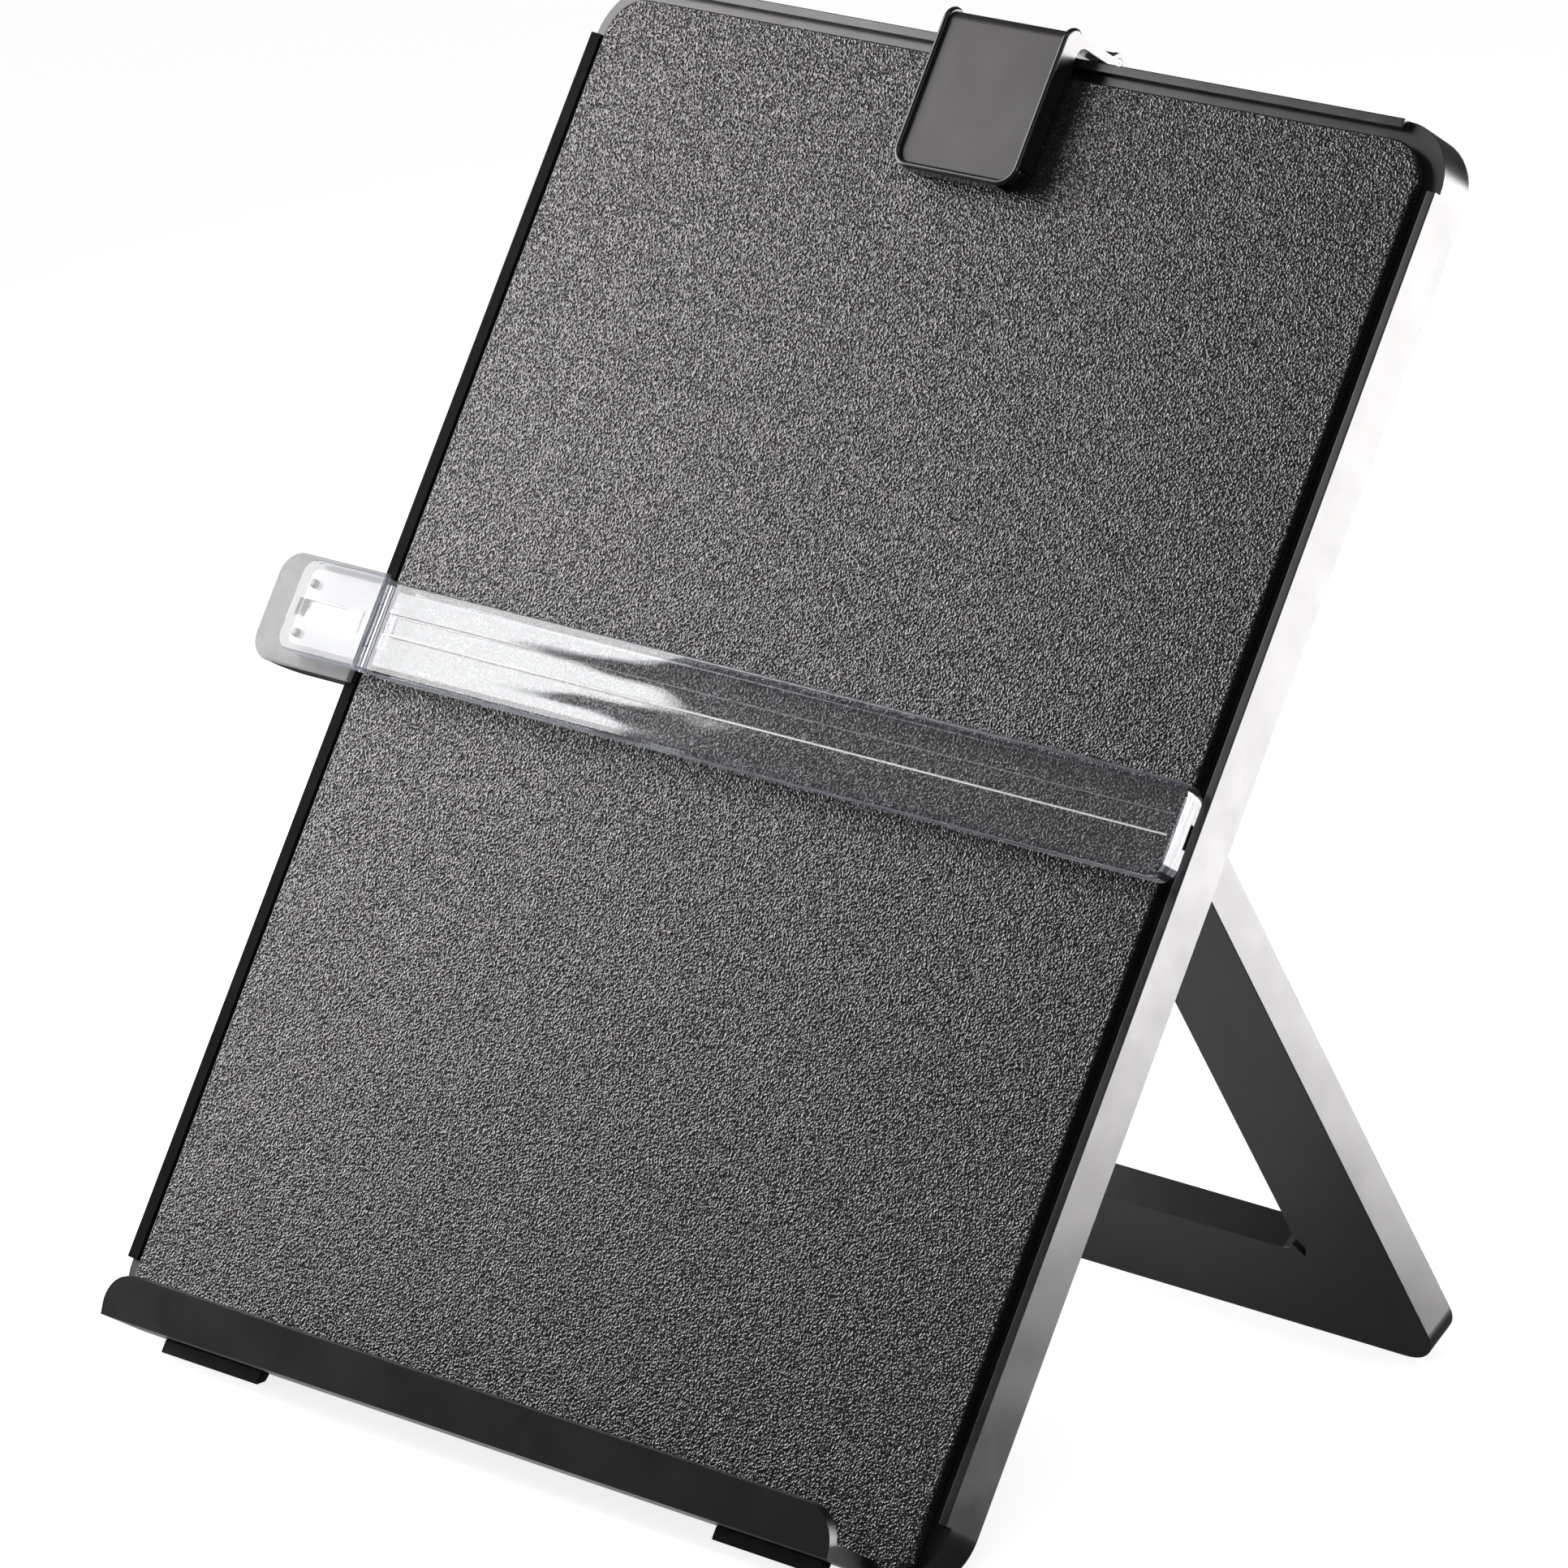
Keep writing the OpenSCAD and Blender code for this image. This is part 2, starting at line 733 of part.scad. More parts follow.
// Hinge barrel with a web to one side
module knuckle(y, l, side) {
    translate([guide_left, y, hinge_z]) rotate([-90, 0, 0])
        cylinder(r = barrel_r, h = l);
    web = barrel_r + 0.6;
    translate([side > 0 ? guide_left : guide_left - web, y, hinge_z - 0.6])
        cube([web, l, barrel_r + 0.6]);
}

module slider_rivets() {
    color("#8d9094") on_board() rivet_sites() {
        translate([0, 0, plate_z - 3.9])
            cylinder(r = rivet_r, h = guide_z - plate_z + 3.9);
    }
}

// Bowed leaf spring in the hook's pocket, that rubs on the board's side
module slider_brake_spring() {
    half_l = brake_l / 2;
    sag = pocket_d + slide_gap - brake_t - 0.1;
    bow = (pow(half_l, 2) + pow(sag, 2)) / (2 * sag);
    crown_x = -half_w - 0.05;
    color("silver") on_board() translate([0, guide_mid, 2.6])
        linear_extrude(brake_w) intersection() {
            translate([crown_x - bow, 0]) difference() {
                circle(bow);
                circle(bow - brake_t);
            }
            translate([crown_x - 2, -half_l]) square([3, 2 * half_l]);
        }
}

module guide_hinge_pin() {
    color("#d9dcdf") on_board()
        translate([guide_left, guide_mid - guide_h / 2 + 0.8, hinge_z])
            rotate([-90, 0, 0]) cylinder(r = hinge_pin_r, h = guide_h - 1.6);
}

module line_guide() {
    x0 = guide_left + barrel_r + 0.3;
    y0 = guide_y;
    y1 = guide_y + guide_h;
    low = guide_mid + 1 - scribe_gap / 2;
    color([0.95, 0.96, 0.97, 0.35]) on_board() difference() {
        union() {
            difference() {
                translate([0, 0, guide_back]) linear_extrude(guide_z - guide_back)
                    intersection() {
                        rounded_rect(x0 - 2 * guide_r, y0, guide_right, y1, guide_r);
                        translate([x0, y0]) square([guide_right - x0, guide_h]);
                    }
                translate([0, 0, guide_back - eps])
                    linear_extrude(guide_z - guide_back - guide_t + eps)
                        intersection() {
                            rounded_rect(x0 - 2 * guide_r, y0 + guide_t,
                                guide_right - guide_t, y1 - guide_t,
                                guide_r - guide_t);
                            translate([x0 - 1, y0])
                                square([guide_right - x0, guide_h]);
                        }
                // Notch in the end wall
                translate([guide_right - guide_t - 1, guide_mid - 2.6,
                    guide_back - eps])
                    cube([guide_t + 2, 5.2, 1]);
                // Two scribed lines, joined beside the hinge
                for (y = [low, low + scribe_gap]) {
                    translate([x0 + 1, y - scribe_w / 2, guide_z - 0.3])
                        cube([guide_right - guide_t - x0 - 1.4, scribe_w, 1]);
                }
                translate([x0 + 1, low, guide_z - 0.3])
                    cube([scribe_w, scribe_gap, 1]);
            }
            knuckle(guide_mid - knuckle_l / 2, knuckle_l, 1);
        }
        translate([guide_left, 0, hinge_z]) rotate([-90, 0, 0])
            cylinder(r = hinge_pin_r, h = board_h);
    }
}

// Carriage that saddles the board's top edge and hooks behind the top rail
module clip_carriage() {
    back = -slide_gap;
    front = rail_z + slide_gap;
    tooth_y = board_h - rail_w - slide_gap - carriage_t;
    top_y = clip_pin_y - coil_r - 0.2;
    color("#242424") on_board() difference() {
        union() {
            bar_x(-carriage_half, carriage_half) polygon([
                [board_h - rail_w - slide_gap, board_d + slide_gap],
                [board_h - rail_w - slide_gap, front],
                [board_h + slide_gap, front],
                [board_h + slide_gap, back],
                [board_h - back_plate_l, back],
                [board_h - back_plate_l, back - carriage_t],
                [top_y, back - carriage_t],
                [top_y, front + 0.6],
                [board_h, front + carriage_t],
                [tooth_y, front + carriage_t],
                [tooth_y, board_d + slide_gap]]);
            for (x = [-carriage_half, carriage_half - ear_t]) {
                carriage_ear(x);
            }
        }
        clip_axis(-through / 2, clip_pin_r + fit, through);
        translate([spring_x - 0.7, spring_y - 0.1, -4]) cube([0.8, 0.8, 4.5]);
    }
}

module carriage_ear(x) {
    translate([x, clip_pin_y, clip_pin_z]) rotate([0, 90, 0])
        cylinder(r = clip_pin_r + 1, h = ear_t);
    translate([x, arm_y - 1, clip_pin_z - clip_pin_r - 1])
        cube([ear_t, clip_pin_y - arm_y + 1, 2 * clip_pin_r + 2]);
}

// A cylinder along the clip's hinge axis
module clip_axis(x0, r, l) {
    translate([x0, clip_pin_y, clip_pin_z]) rotate([0, 90, 0])
        cylinder(r = r, h = l);
}

// Side outline of the lever: flap in front, arm over the top, press lever behind
module lever_side() {
    bend_y = arm_top - bend_r;
    bend_z = flap_z - bend_r;
    difference() {
        union() {
            translate([flap_bottom, flap_z - flap_d])
                square([bend_y - flap_bottom, flap_d]);
            translate([bend_y, bend_z]) circle(bend_r);
            translate([arm_y, clip_pin_z]) square([arm_t, bend_z - clip_pin_z]);
            translate([clip_pin_y, clip_pin_z]) circle(arm_t / 2 + 0.3);
            press_outline();
        }
        translate([arm_y - 8, bend_z - 12]) square([8, 12]);
    }
}

// The press lever's walls stay behind the board when the lever is pressed
module press_outline() {
    board_side = 0.6;
    translate([clip_pin_y, clip_pin_z]) rotate(180 + lever_open)
        translate([0, -board_side])
            square([lever_l, arm_t / 2 + 0.3 + board_side]);
}

module clip_lever() {
    floor_z = flap_z - tray_d;
    color("#2b2a2b") on_board() difference() {
        union() {
            // Side walls
            for (x = [-clip_half, clip_half - clip_t]) {
                bar_x(x, x + clip_t) lever_side();
            }
            // Tray floor and lower wall of the flap
            bar_x(-clip_half, clip_half) {
                translate([flap_bottom, floor_z - clip_t])
                    square([flap_l - bend_r, clip_t]);
                translate([flap_bottom, flap_z - flap_d])
                    square([clip_t, flap_d]);
                lever_bend(tray_d);
            }
            // Rounded inner corners of the flap's tray
            for (side = [-1, 1]) {
                tray_corner(side);
            }
            // Press lever's web
            bar_x(-clip_half, clip_half)
                translate([clip_pin_y, clip_pin_z]) rotate(180 + lever_open)
                    translate([5, arm_t / 2 + 0.3 - clip_t])
                        square([lever_l - 5, clip_t]);
        }
        clip_axis(-clip_half - 1, clip_pin_r, clip_w + 2);
        // Round the flap's lower corners
        for (side = [-1, 1]) {
            flap_corner(side);
        }
    }
}

// Curved tray floor where the flap turns over the top of the board
module lever_bend(drop) {
    bend_y = arm_top - bend_r;
    bend_z = flap_z - bend_r;
    out_r = bend_r - drop;
    difference() {
        translate([bend_y, bend_z]) circle(out_r);
        translate([bend_y, bend_z]) circle(out_r - clip_t);
        translate([bend_y - 2 * bend_r, bend_z - bend_r])
            square([2 * bend_r, 3 * bend_r]);
        translate([bend_y - bend_r, bend_z - 2 * bend_r])
            square([3 * bend_r, 2 * bend_r]);
    }
    translate([arm_top - drop - clip_t, clip_pin_z + 2.5])
        square([clip_t, bend_z - clip_pin_z - 2.5]);
}

module tray_corner(side) {
    translate([side * clip_half, flap_bottom, flap_z - flap_d]) difference() {
        translate([side > 0 ? -flap_r : 0, 0, 0]) cube([flap_r, flap_r, flap_d]);
        translate([-side * flap_r, flap_r, -1])
            cylinder(r = flap_r - clip_t, h = flap_d + 2);
    }
}

module flap_corner(side) {
    translate([side * clip_half, flap_bottom, flap_z - 2 * flap_d]) difference() {
        translate([side > 0 ? -flap_r : -1, -1, 0])
            cube([flap_r + 1, flap_r + 1, 3 * flap_d]);
        translate([-side * flap_r, flap_r, -1])
            cylinder(r = flap_r, h = 4 * flap_d);
    }
}

module clip_pin() {
    color("silver") on_board() clip_axis(-clip_half, clip_pin_r, clip_w);
}

// Torsion spring round the pin, with its fixed leg hooked into the carriage
module clip_spring() {
    wire = 0.6;
    color("silver") on_board() difference() {
        union() {
            clip_axis(-spring_l / 2, coil_r, spring_l);
            translate([spring_x - wire, spring_y, clip_pin_z - coil_r])
                cube([wire, clip_pin_y - spring_y, wire]);
            translate([spring_x - wire, spring_y, clip_pin_z - coil_r])
                cube([wire, wire, coil_r]);
        }
        clip_axis(-spring_l, clip_pin_r + 0.4, 2 * spring_l);
    }
}

module clip_grip_pad() {
    color("#151515") on_board()
        translate([-clip_half + flap_r, flap_bottom + 0.1,
            panel_z + slide_gap])
            cube([clip_w - 2 * flap_r, pad_t,
                flap_z - flap_d - panel_z - slide_gap]);
}

board_frame();
front_panel();
document_ledge();
foot_left();
foot_right();
hinge_cap_left();
hinge_cap_right();
hinge_cap_screws();
leg_frame();
leg_pivot_pins();
thumb_plate();
slider_hook();
slider_cover();
slider_rivets();
slider_brake_spring();
guide_hinge_pin();
line_guide();
clip_carriage();
clip_lever();
clip_pin();
clip_spring();
clip_grip_pad();
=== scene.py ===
"""Looks of the copy holder with line guide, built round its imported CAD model."""

import json
import math

import bmesh
import bpy
from mathutils import Matrix, Vector


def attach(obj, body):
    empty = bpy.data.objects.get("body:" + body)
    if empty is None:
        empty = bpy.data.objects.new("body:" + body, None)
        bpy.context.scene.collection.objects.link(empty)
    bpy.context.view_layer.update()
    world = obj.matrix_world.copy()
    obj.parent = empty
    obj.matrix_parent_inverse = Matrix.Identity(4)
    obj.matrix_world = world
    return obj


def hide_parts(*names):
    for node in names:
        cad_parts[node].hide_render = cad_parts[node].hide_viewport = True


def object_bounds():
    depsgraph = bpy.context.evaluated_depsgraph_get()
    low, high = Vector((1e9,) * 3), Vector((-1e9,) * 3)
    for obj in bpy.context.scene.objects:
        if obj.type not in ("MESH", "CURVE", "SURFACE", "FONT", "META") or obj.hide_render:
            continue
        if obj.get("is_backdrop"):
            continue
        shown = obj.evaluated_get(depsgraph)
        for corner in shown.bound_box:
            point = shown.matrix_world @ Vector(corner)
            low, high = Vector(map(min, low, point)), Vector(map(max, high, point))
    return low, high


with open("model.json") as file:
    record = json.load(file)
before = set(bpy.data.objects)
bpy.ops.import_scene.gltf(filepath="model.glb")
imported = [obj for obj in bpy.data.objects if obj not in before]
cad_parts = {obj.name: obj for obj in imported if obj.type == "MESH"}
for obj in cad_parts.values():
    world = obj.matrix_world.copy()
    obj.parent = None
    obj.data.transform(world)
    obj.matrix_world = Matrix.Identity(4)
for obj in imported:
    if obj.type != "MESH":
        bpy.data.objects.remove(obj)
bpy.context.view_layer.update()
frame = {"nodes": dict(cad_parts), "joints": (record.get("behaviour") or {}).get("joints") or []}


def plain(box):
    """The two corners of a box as lists."""
    return [[float(x) for x in corner] for corner in box]


nodes = frame["nodes"]
joints = {j["name"]: j for j in frame["joints"]}

# ---------------------------------------------------------------- board frame
# Board coordinates: u across, v up the face, w out of it, all in millimetres.
RIGHT = Vector((1, 0, 0))
UP = Vector(joints["guide_slide"]["axis"]).normalized()
OUT = RIGHT.cross(UP)
# Place of the leg's pivot on the board, in metres
PIVOT_UP = 0.1586
PIVOT_OUT = 0.00425
ORIGIN = Vector(joints["leg_fold"]["pos_m"]) - UP * PIVOT_UP - OUT * PIVOT_OUT


def placed(x, y, z, origin):
    """A matrix that has the axes x, y and z at an origin."""
    return Matrix((
        (x[0], y[0], z[0], origin[0]),
        (x[1], y[1], z[1], origin[1]),
        (x[2], y[2], z[2], origin[2]),
        (0, 0, 0, 1)))


BOARD = placed(RIGHT, UP, OUT, ORIGIN)
TO_BOARD = BOARD.inverted()


def at(u, v, w):
    """World place of a board point."""
    return BOARD @ Vector((u / 1000, v / 1000, w / 1000))


# ------------------------------------------------------------------ materials
class Graph:
    """A node material, put together one node at a time."""

    def __init__(self, name):
        self.material = bpy.data.materials.new(name)
        self.material.use_nodes = True
        self.tree = self.material.node_tree
        self.tree.nodes.clear()
        self.output = self.tree.nodes.new("ShaderNodeOutputMaterial")

    def add(self, kind, inputs=None, **settings):
        """A node, with each input given as a value or as the socket that feeds it."""
        node = self.tree.nodes.new("ShaderNode" + kind)
        for key, value in settings.items():
            setattr(node, key, value)
        for key, value in (inputs or {}).items():
            if isinstance(value, bpy.types.NodeSocket):
                self.tree.links.new(value, node.inputs[key])
            else:
                node.inputs[key].default_value = value
        return node

    def place(self):
        """The point on the object."""
        return self.add("TexCoord").outputs["Object"]

    def noise(self, scale, detail=2.0, rough=0.5, stretch=None):
        """Noise from 0 to 1, with about as many bumps to the metre as scale says."""
        where = self.place()
        if stretch:
            where = self.add("Mapping", {"Vector": where, "Scale": stretch}).outputs[0]
        return self.add("TexNoise", {"Vector": where, "Scale": scale, "Detail": detail,
                                     "Roughness": rough}).outputs[0]

    def ramp(self, value, low, high, out_low, out_high):
        """A value mapped from low and high to out_low and out_high, and held there."""
        return self.add("MapRange", {"Value": value, "From Min": low, "From Max": high,
                                     "To Min": out_low, "To Max": out_high}).outputs[0]

    def math(self, operation, a, b=0.0, c=0.0):
        return self.add("Math", {0: a, 1: b, 2: c}, operation=operation).outputs[0]

    def bump(self, height, strength, distance, normal=None):
        """A normal tilted by a height, on top of another normal if one is given."""
        inputs = {"Height": height, "Strength": strength, "Distance": distance}
        if normal is not None:
            inputs["Normal"] = normal
        return self.add("Bump", inputs).outputs[0]

    def mix_color(self, factor, a, b):
        return self.add("Mix", {0: factor, 6: a, 7: b}, data_type="RGBA").outputs[2]

    def surface(self, shader):
        """The finished material."""
        self.tree.links.new(shader, self.output.inputs["Surface"])
        return self.material


def grey(value, warm=0.0):
    """A grey, with its red raised and its blue lowered by the share warm."""
    return (value * (1 + warm), value, value * (1 - warm), 1)


def moulded(name, base, rough, grain_mm=0.35, grain=0.12, swirl=0.04, specular=0.5, warm=0.1):
    """Injection-moulded plastic: fine spark-eroded grain, slow sink marks, worn patches."""
    g = Graph(name)
    fine = g.noise(1000 / grain_mm, 3, 0.6)
    slow = g.noise(28, 2, 0.5)
    wear = g.noise(90, 4, 0.65)
    colour = g.mix_color(g.ramp(wear, 0.35, 0.75, 0, 1),
                         grey(base * 0.85, warm), grey(base * 1.3, warm))
    roughness = g.ramp(wear, 0.3, 0.7, rough - swirl, rough + swirl)
    normal = g.bump(slow, 0.12, 0.002)
    normal = g.bump(fine, grain, 0.0001, normal)
    shader = g.add("BsdfPrincipled", {"Base Color": colour, "Roughness": roughness, "Normal": normal,
                                      "Specular IOR Level": specular, "Specular Tint": (1, 0.97, 0.96, 1)})
    return g.surface(shader.outputs[0])


def pebbled(name, base, rough):
    """The panel's leather-like grain, with soft bumps a bit under a millimetre apart.

    The valleys between the bumps carry painted shade: a darker colour and a lower specular level, so the
    bumps mirror more than the valleys."""
    g = Graph(name)
    where = g.place()
    warp = g.add("TexNoise", {"Vector": where, "Scale": 900.0, "Detail": 1.0}).outputs["Color"]
    moved = g.add("VectorMath", {0: warp, 1: (0.5, 0.5, 0.5)}, operation="SUBTRACT").outputs[0]
    moved = g.add("VectorMath", {0: moved, "Scale": 0.0005}, operation="SCALE").outputs[0]
    where = g.add("VectorMath", {0: where, 1: moved}, operation="ADD").outputs[0]
    cells = g.add("TexVoronoi", {"Vector": where, "Scale": 2400.0, "Smoothness": 1.0},
                  feature="SMOOTH_F1").outputs["Distance"]
    worms = g.add("TexNoise", {"Vector": where, "Scale": 2000.0, "Detail": 0.4,
                               "Roughness": 0.45}).outputs[0]
    height = g.math("SUBTRACT", g.math("MULTIPLY", worms, 1.5), g.math("MULTIPLY", cells, 0.8))
    fine = g.noise(5200, 2, 0.6)
    normal = g.bump(height, 1.0, 0.00017)
    normal = g.bump(fine, 0.06, 0.00004, normal)
    # Painted shade in the grain's valleys: a darker colour here, and less mirroring through the specular
    # level below
    colour = g.mix_color(g.ramp(cells, 0.2, 0.8, 0, 1),
                         grey(base * 1.25, 0.06), grey(base * 0.7, 0.06))
    shader = g.add("BsdfPrincipled", {"Base Color": colour, "Normal": normal,
                                      "Roughness": g.ramp(fine, 0.3, 0.7, rough - 0.04, rough + 0.04),
                                      "Specular IOR Level": g.ramp(height, 0.22, 0.73, 0.06, 0.95),
                                      "Specular Tint": (1, 0.955, 0.945, 1)})
    return g.surface(shader.outputs[0])


def clear(name, tint, rough, milk, body, head_on):
    """Clear moulded plastic: see-through, mirror-like by its angle, faintly flowed.

    milk is the share of the light that the plastic scatters, body how pale that share is,
    and head_on the share that it mirrors straight on."""
    g = Graph(name)
    flow = g.noise(10, 2, 0.5, stretch=(1, 4, 4))
    fine = g.noise(700, 2, 0.5)
    normal = g.bump(flow, 0.5, 0.003)
    normal = g.bump(fine, 0.008, 0.0001, normal)
    mirror = g.add("BsdfGlossy", {"Color": (1, 1, 1, 1), "Normal": normal,
                                  "Roughness": g.ramp(flow, 0.3, 0.7, rough, rough + 0.03)})
    through = g.add("BsdfTransparent", {"Color": (*tint, 1)})
    dust = g.add("BsdfDiffuse", {"Color": grey(body), "Normal": normal})
    cloud = g.ramp(g.noise(240, 4, 0.7), 0.3, 0.8, milk * 0.9, milk * 1.1)
    inside = g.add("MixShader", {0: cloud, 1: through.outputs[0], 2: dust.outputs[0]})
    facing = g.add("LayerWeight", {"Blend": 0.5, "Normal": normal}).outputs["Facing"]
    edge = g.math("MULTIPLY_ADD", g.math("POWER", facing, 5.0), 1 - head_on, head_on)
    mixed = g.add("MixShader", {0: edge, 1: inside.outputs[0], 2: mirror.outputs[0]})
    shadow = g.add("LightPath").outputs["Is Shadow Ray"]
    shade = g.add("BsdfTransparent", {"Color": grey(0.85 - 0.6 * milk)})
    shader = g.add("MixShader", {0: shadow, 1: mixed.outputs[0], 2: shade.outputs[0]})
    return g.surface(shader.outputs[0])


def streaked(name, milk):
    """A moulded wall seen on edge, with painted light: pale and bluish streaks in its diffuse colour stand
    for light piped along it.

    The board leans back by 31 degrees, so the streaks are turned by the other 59."""
    g = Graph(name)
    along = g.add("VectorRotate", {"Vector": g.place(), "Axis": (1, 0, 0), "Angle": math.radians(-59)},
                  rotation_type="AXIS_ANGLE").outputs[0]
    long = g.add("Mapping", {"Vector": along, "Scale": (0.02, 0.06, 1)}).outputs[0]
    lines = g.add("TexNoise", {"Vector": long, "Scale": 1500.0, "Detail": 1.0}).outputs[0]
    # Painted light: the streaks' pale and bluish colours
    colour = g.mix_color(g.ramp(lines, 0.38, 0.62, 0, 1), (0.32, 0.36, 0.46, 1), (0.9, 0.93, 1.0, 1))
    pale = g.add("BsdfDiffuse", {"Color": colour})
    through = g.add("BsdfTransparent", {"Color": (0.86, 0.89, 0.95, 1)})
    mirror = g.add("BsdfGlossy", {"Color": (1, 1, 1, 1), "Roughness": 0.08})
    facing = g.add("LayerWeight", {"Blend": 0.5}).outputs["Facing"]
    edge = g.math("MULTIPLY_ADD", g.math("POWER", facing, 5.0), 0.6, 0.04)
    body = g.add("MixShader", {0: g.ramp(lines, 0.3, 0.7, milk * 0.7, milk * 1.3),
                               1: through.outputs[0], 2: pale.outputs[0]})
    shader = g.add("MixShader", {0: edge, 1: body.outputs[0], 2: mirror.outputs[0]})
    return g.surface(shader.outputs[0])


def rubber(name, base):
    """Dull rubber with fine pores and a little dust."""
    g = Graph(name)
    pores = g.noise(1600, 4, 0.7)
    dust = g.noise(140, 3, 0.6)
    colour = g.mix_color(g.ramp(dust, 0.4, 0.8, 0, 1), grey(base), grey(base * 1.9, 0.03))
    shader = g.add("BsdfPrincipled", {"Base Color": colour, "Normal": g.bump(pores, 0.35, 0.0002),
                                      "Roughness": g.ramp(pores, 0.3, 0.7, 0.6, 0.8),
                                      "Specular IOR Level": 0.35})
    return g.surface(shader.outputs[0])


def steel(name, base, rough, along=(1, 1, 1)):
    """Bare steel with fine grooves and faint stains. The grooves' pattern is scaled by along."""
    g = Graph(name)
    brushed = g.noise(2500, 3, 0.6, stretch=along)
    stains = g.noise(220, 3, 0.6)
    colour = g.mix_color(g.ramp(stains, 0.4, 0.7, 0, 1), grey(base), grey(base * 0.82, 0.02))
    shader = g.add("BsdfPrincipled", {"Base Color": colour, "Metallic": 1.0,
                                      "Roughness": g.ramp(brushed, 0.3, 0.7, rough - 0.06, rough + 0.1),
                                      "Normal": g.bump(brushed, 0.12, 0.0001)})
    return g.surface(shader.outputs[0])


FRAME_PLASTIC = moulded("frame_plastic", 0.011, 0.3, grain=0.05)
PANEL_PLASTIC = pebbled("panel_plastic", 0.018, 0.235)
LEDGE_PLASTIC = moulded("ledge_plastic", 0.012, 0.36, grain=0.08)
CAP_PLASTIC = moulded("cap_plastic", 0.016, 0.42, grain=0.2)
LEG_PLASTIC = moulded("leg_plastic", 0.024, 0.32, grain=0.06, swirl=0.02)
CARRIAGE_PLASTIC = moulded("carriage_plastic", 0.014, 0.4, grain=0.15)
CLIP_PLASTIC = moulded("clip_plastic", 0.02, 0.42, grain=0.1, specular=0.4)
HOOK_PLASTIC = moulded("hook_plastic", 0.008, 0.25, grain=0.02, specular=0.12)
PLATE_PLASTIC = clear("plate_plastic", (0.76, 0.73, 0.7), rough=0.6, milk=0.8, body=0.4, head_on=0.02)
COVER_PLASTIC = clear("cover_plastic", (0.96, 0.965, 0.98), rough=0.03, milk=0.06, body=0.85,
                      head_on=0.04)
GUIDE_PLASTIC = clear("guide_plastic", (0.94, 0.95, 0.965), rough=0.03, milk=0.015, body=0.8,
                      head_on=0.055)
# Frosting of the scribed lines, in two copies: painted light makes the lower line's copy brighter, and
# painted shade makes the upper line's copy darker
SCRIBE_PAINTED_LIT = clear("guide_scribe_painted_lit", (0.95, 0.95, 0.95), rough=0.4, milk=0.95, body=0.95, head_on=0.12)
SCRIBE_PAINTED_SHADE = clear("guide_scribe_painted_shade", (0.9, 0.9, 0.92), rough=0.4, milk=0.3, body=0.7, head_on=0.04)
WALL_CLEAR = streaked("guide_wall", 0.75)
CLIP_GLOSS = moulded("clip_gloss", 0.012, 0.24, grain=0.03)
HINGE_STEEL = steel("hinge_steel", 0.9, 0.42)
FOOT_RUBBER = rubber("foot_rubber", 0.012)
PAD_RUBBER = rubber("pad_rubber", 0.016)
SCREW_STEEL = steel("screw_steel", 0.55, 0.3)
PIN_STEEL = steel("pin_steel", 0.62, 0.25, (8, 1, 1))
SPRING_STEEL = steel("spring_steel", 0.5, 0.28)
RIVET_STEEL = steel("rivet_steel", 0.16, 0.5)

# Body, material and slot of each CAD node's look
FINISH = {
    "board_frame": ("board", FRAME_PLASTIC, "frame_plastic"),
    "front_panel": ("board", PANEL_PLASTIC, "panel_plastic"),
    "document_ledge": ("board", LEDGE_PLASTIC, "ledge_plastic"),
    "foot_left": ("board", FOOT_RUBBER, "foot_rubber"),
    "foot_right": ("board", FOOT_RUBBER, "foot_rubber"),
    "hinge_cap_left": ("board", CAP_PLASTIC, "cap_plastic"),
    "hinge_cap_right": ("board", CAP_PLASTIC, "cap_plastic"),
    "hinge_cap_screws": ("board", SCREW_STEEL, "screw_steel"),
    "leg_frame": ("leg", LEG_PLASTIC, "leg_plastic"),
    "leg_pivot_pins": ("leg", PIN_STEEL, "pin_steel"),
    "thumb_plate": ("slider", PLATE_PLASTIC, "plate_plastic"),
    "slider_hook": ("slider", HOOK_PLASTIC, "hook_plastic"),
    "slider_cover": ("slider", COVER_PLASTIC, "cover_plastic"),
    "slider_rivets": ("slider", RIVET_STEEL, "rivet_steel"),
    "slider_brake_spring": ("slider", SPRING_STEEL, "spring_steel"),
    "guide_hinge_pin": ("slider", HINGE_STEEL, "pin_steel"),
    "line_guide": ("guide", GUIDE_PLASTIC, "guide_plastic"),
    "clip_carriage": ("clip_base", CARRIAGE_PLASTIC, "carriage_plastic"),
    "clip_spring": ("clip_base", SPRING_STEEL, "spring_steel"),
    "clip_lever": ("clip", CLIP_PLASTIC, "clip_plastic"),
    "clip_pin": ("clip", PIN_STEEL, "pin_steel"),
    "clip_grip_pad": ("clip", PAD_RUBBER, "pad_rubber"),
}

# --------------------------------------------------------------------- shapes
# Corner radii of a square outline, in millimetres
SQUARE = (0.02,) * 4
# Edges that turn by less than this, in degrees, stay as they are
HARD_EDGE = 32


def board_place(point):
    """Board coordinates of a world point, in millimetres."""
    return TO_BOARD @ point * 1000


def board_box(name):
    """Low and high corner of a CAD node in board coordinates."""
    spots = [board_place(v.co) for v in nodes[name].data.vertices]
    return ([min(p[k] for p in spots) for k in range(3)],
            [max(p[k] for p in spots) for k in range(3)])


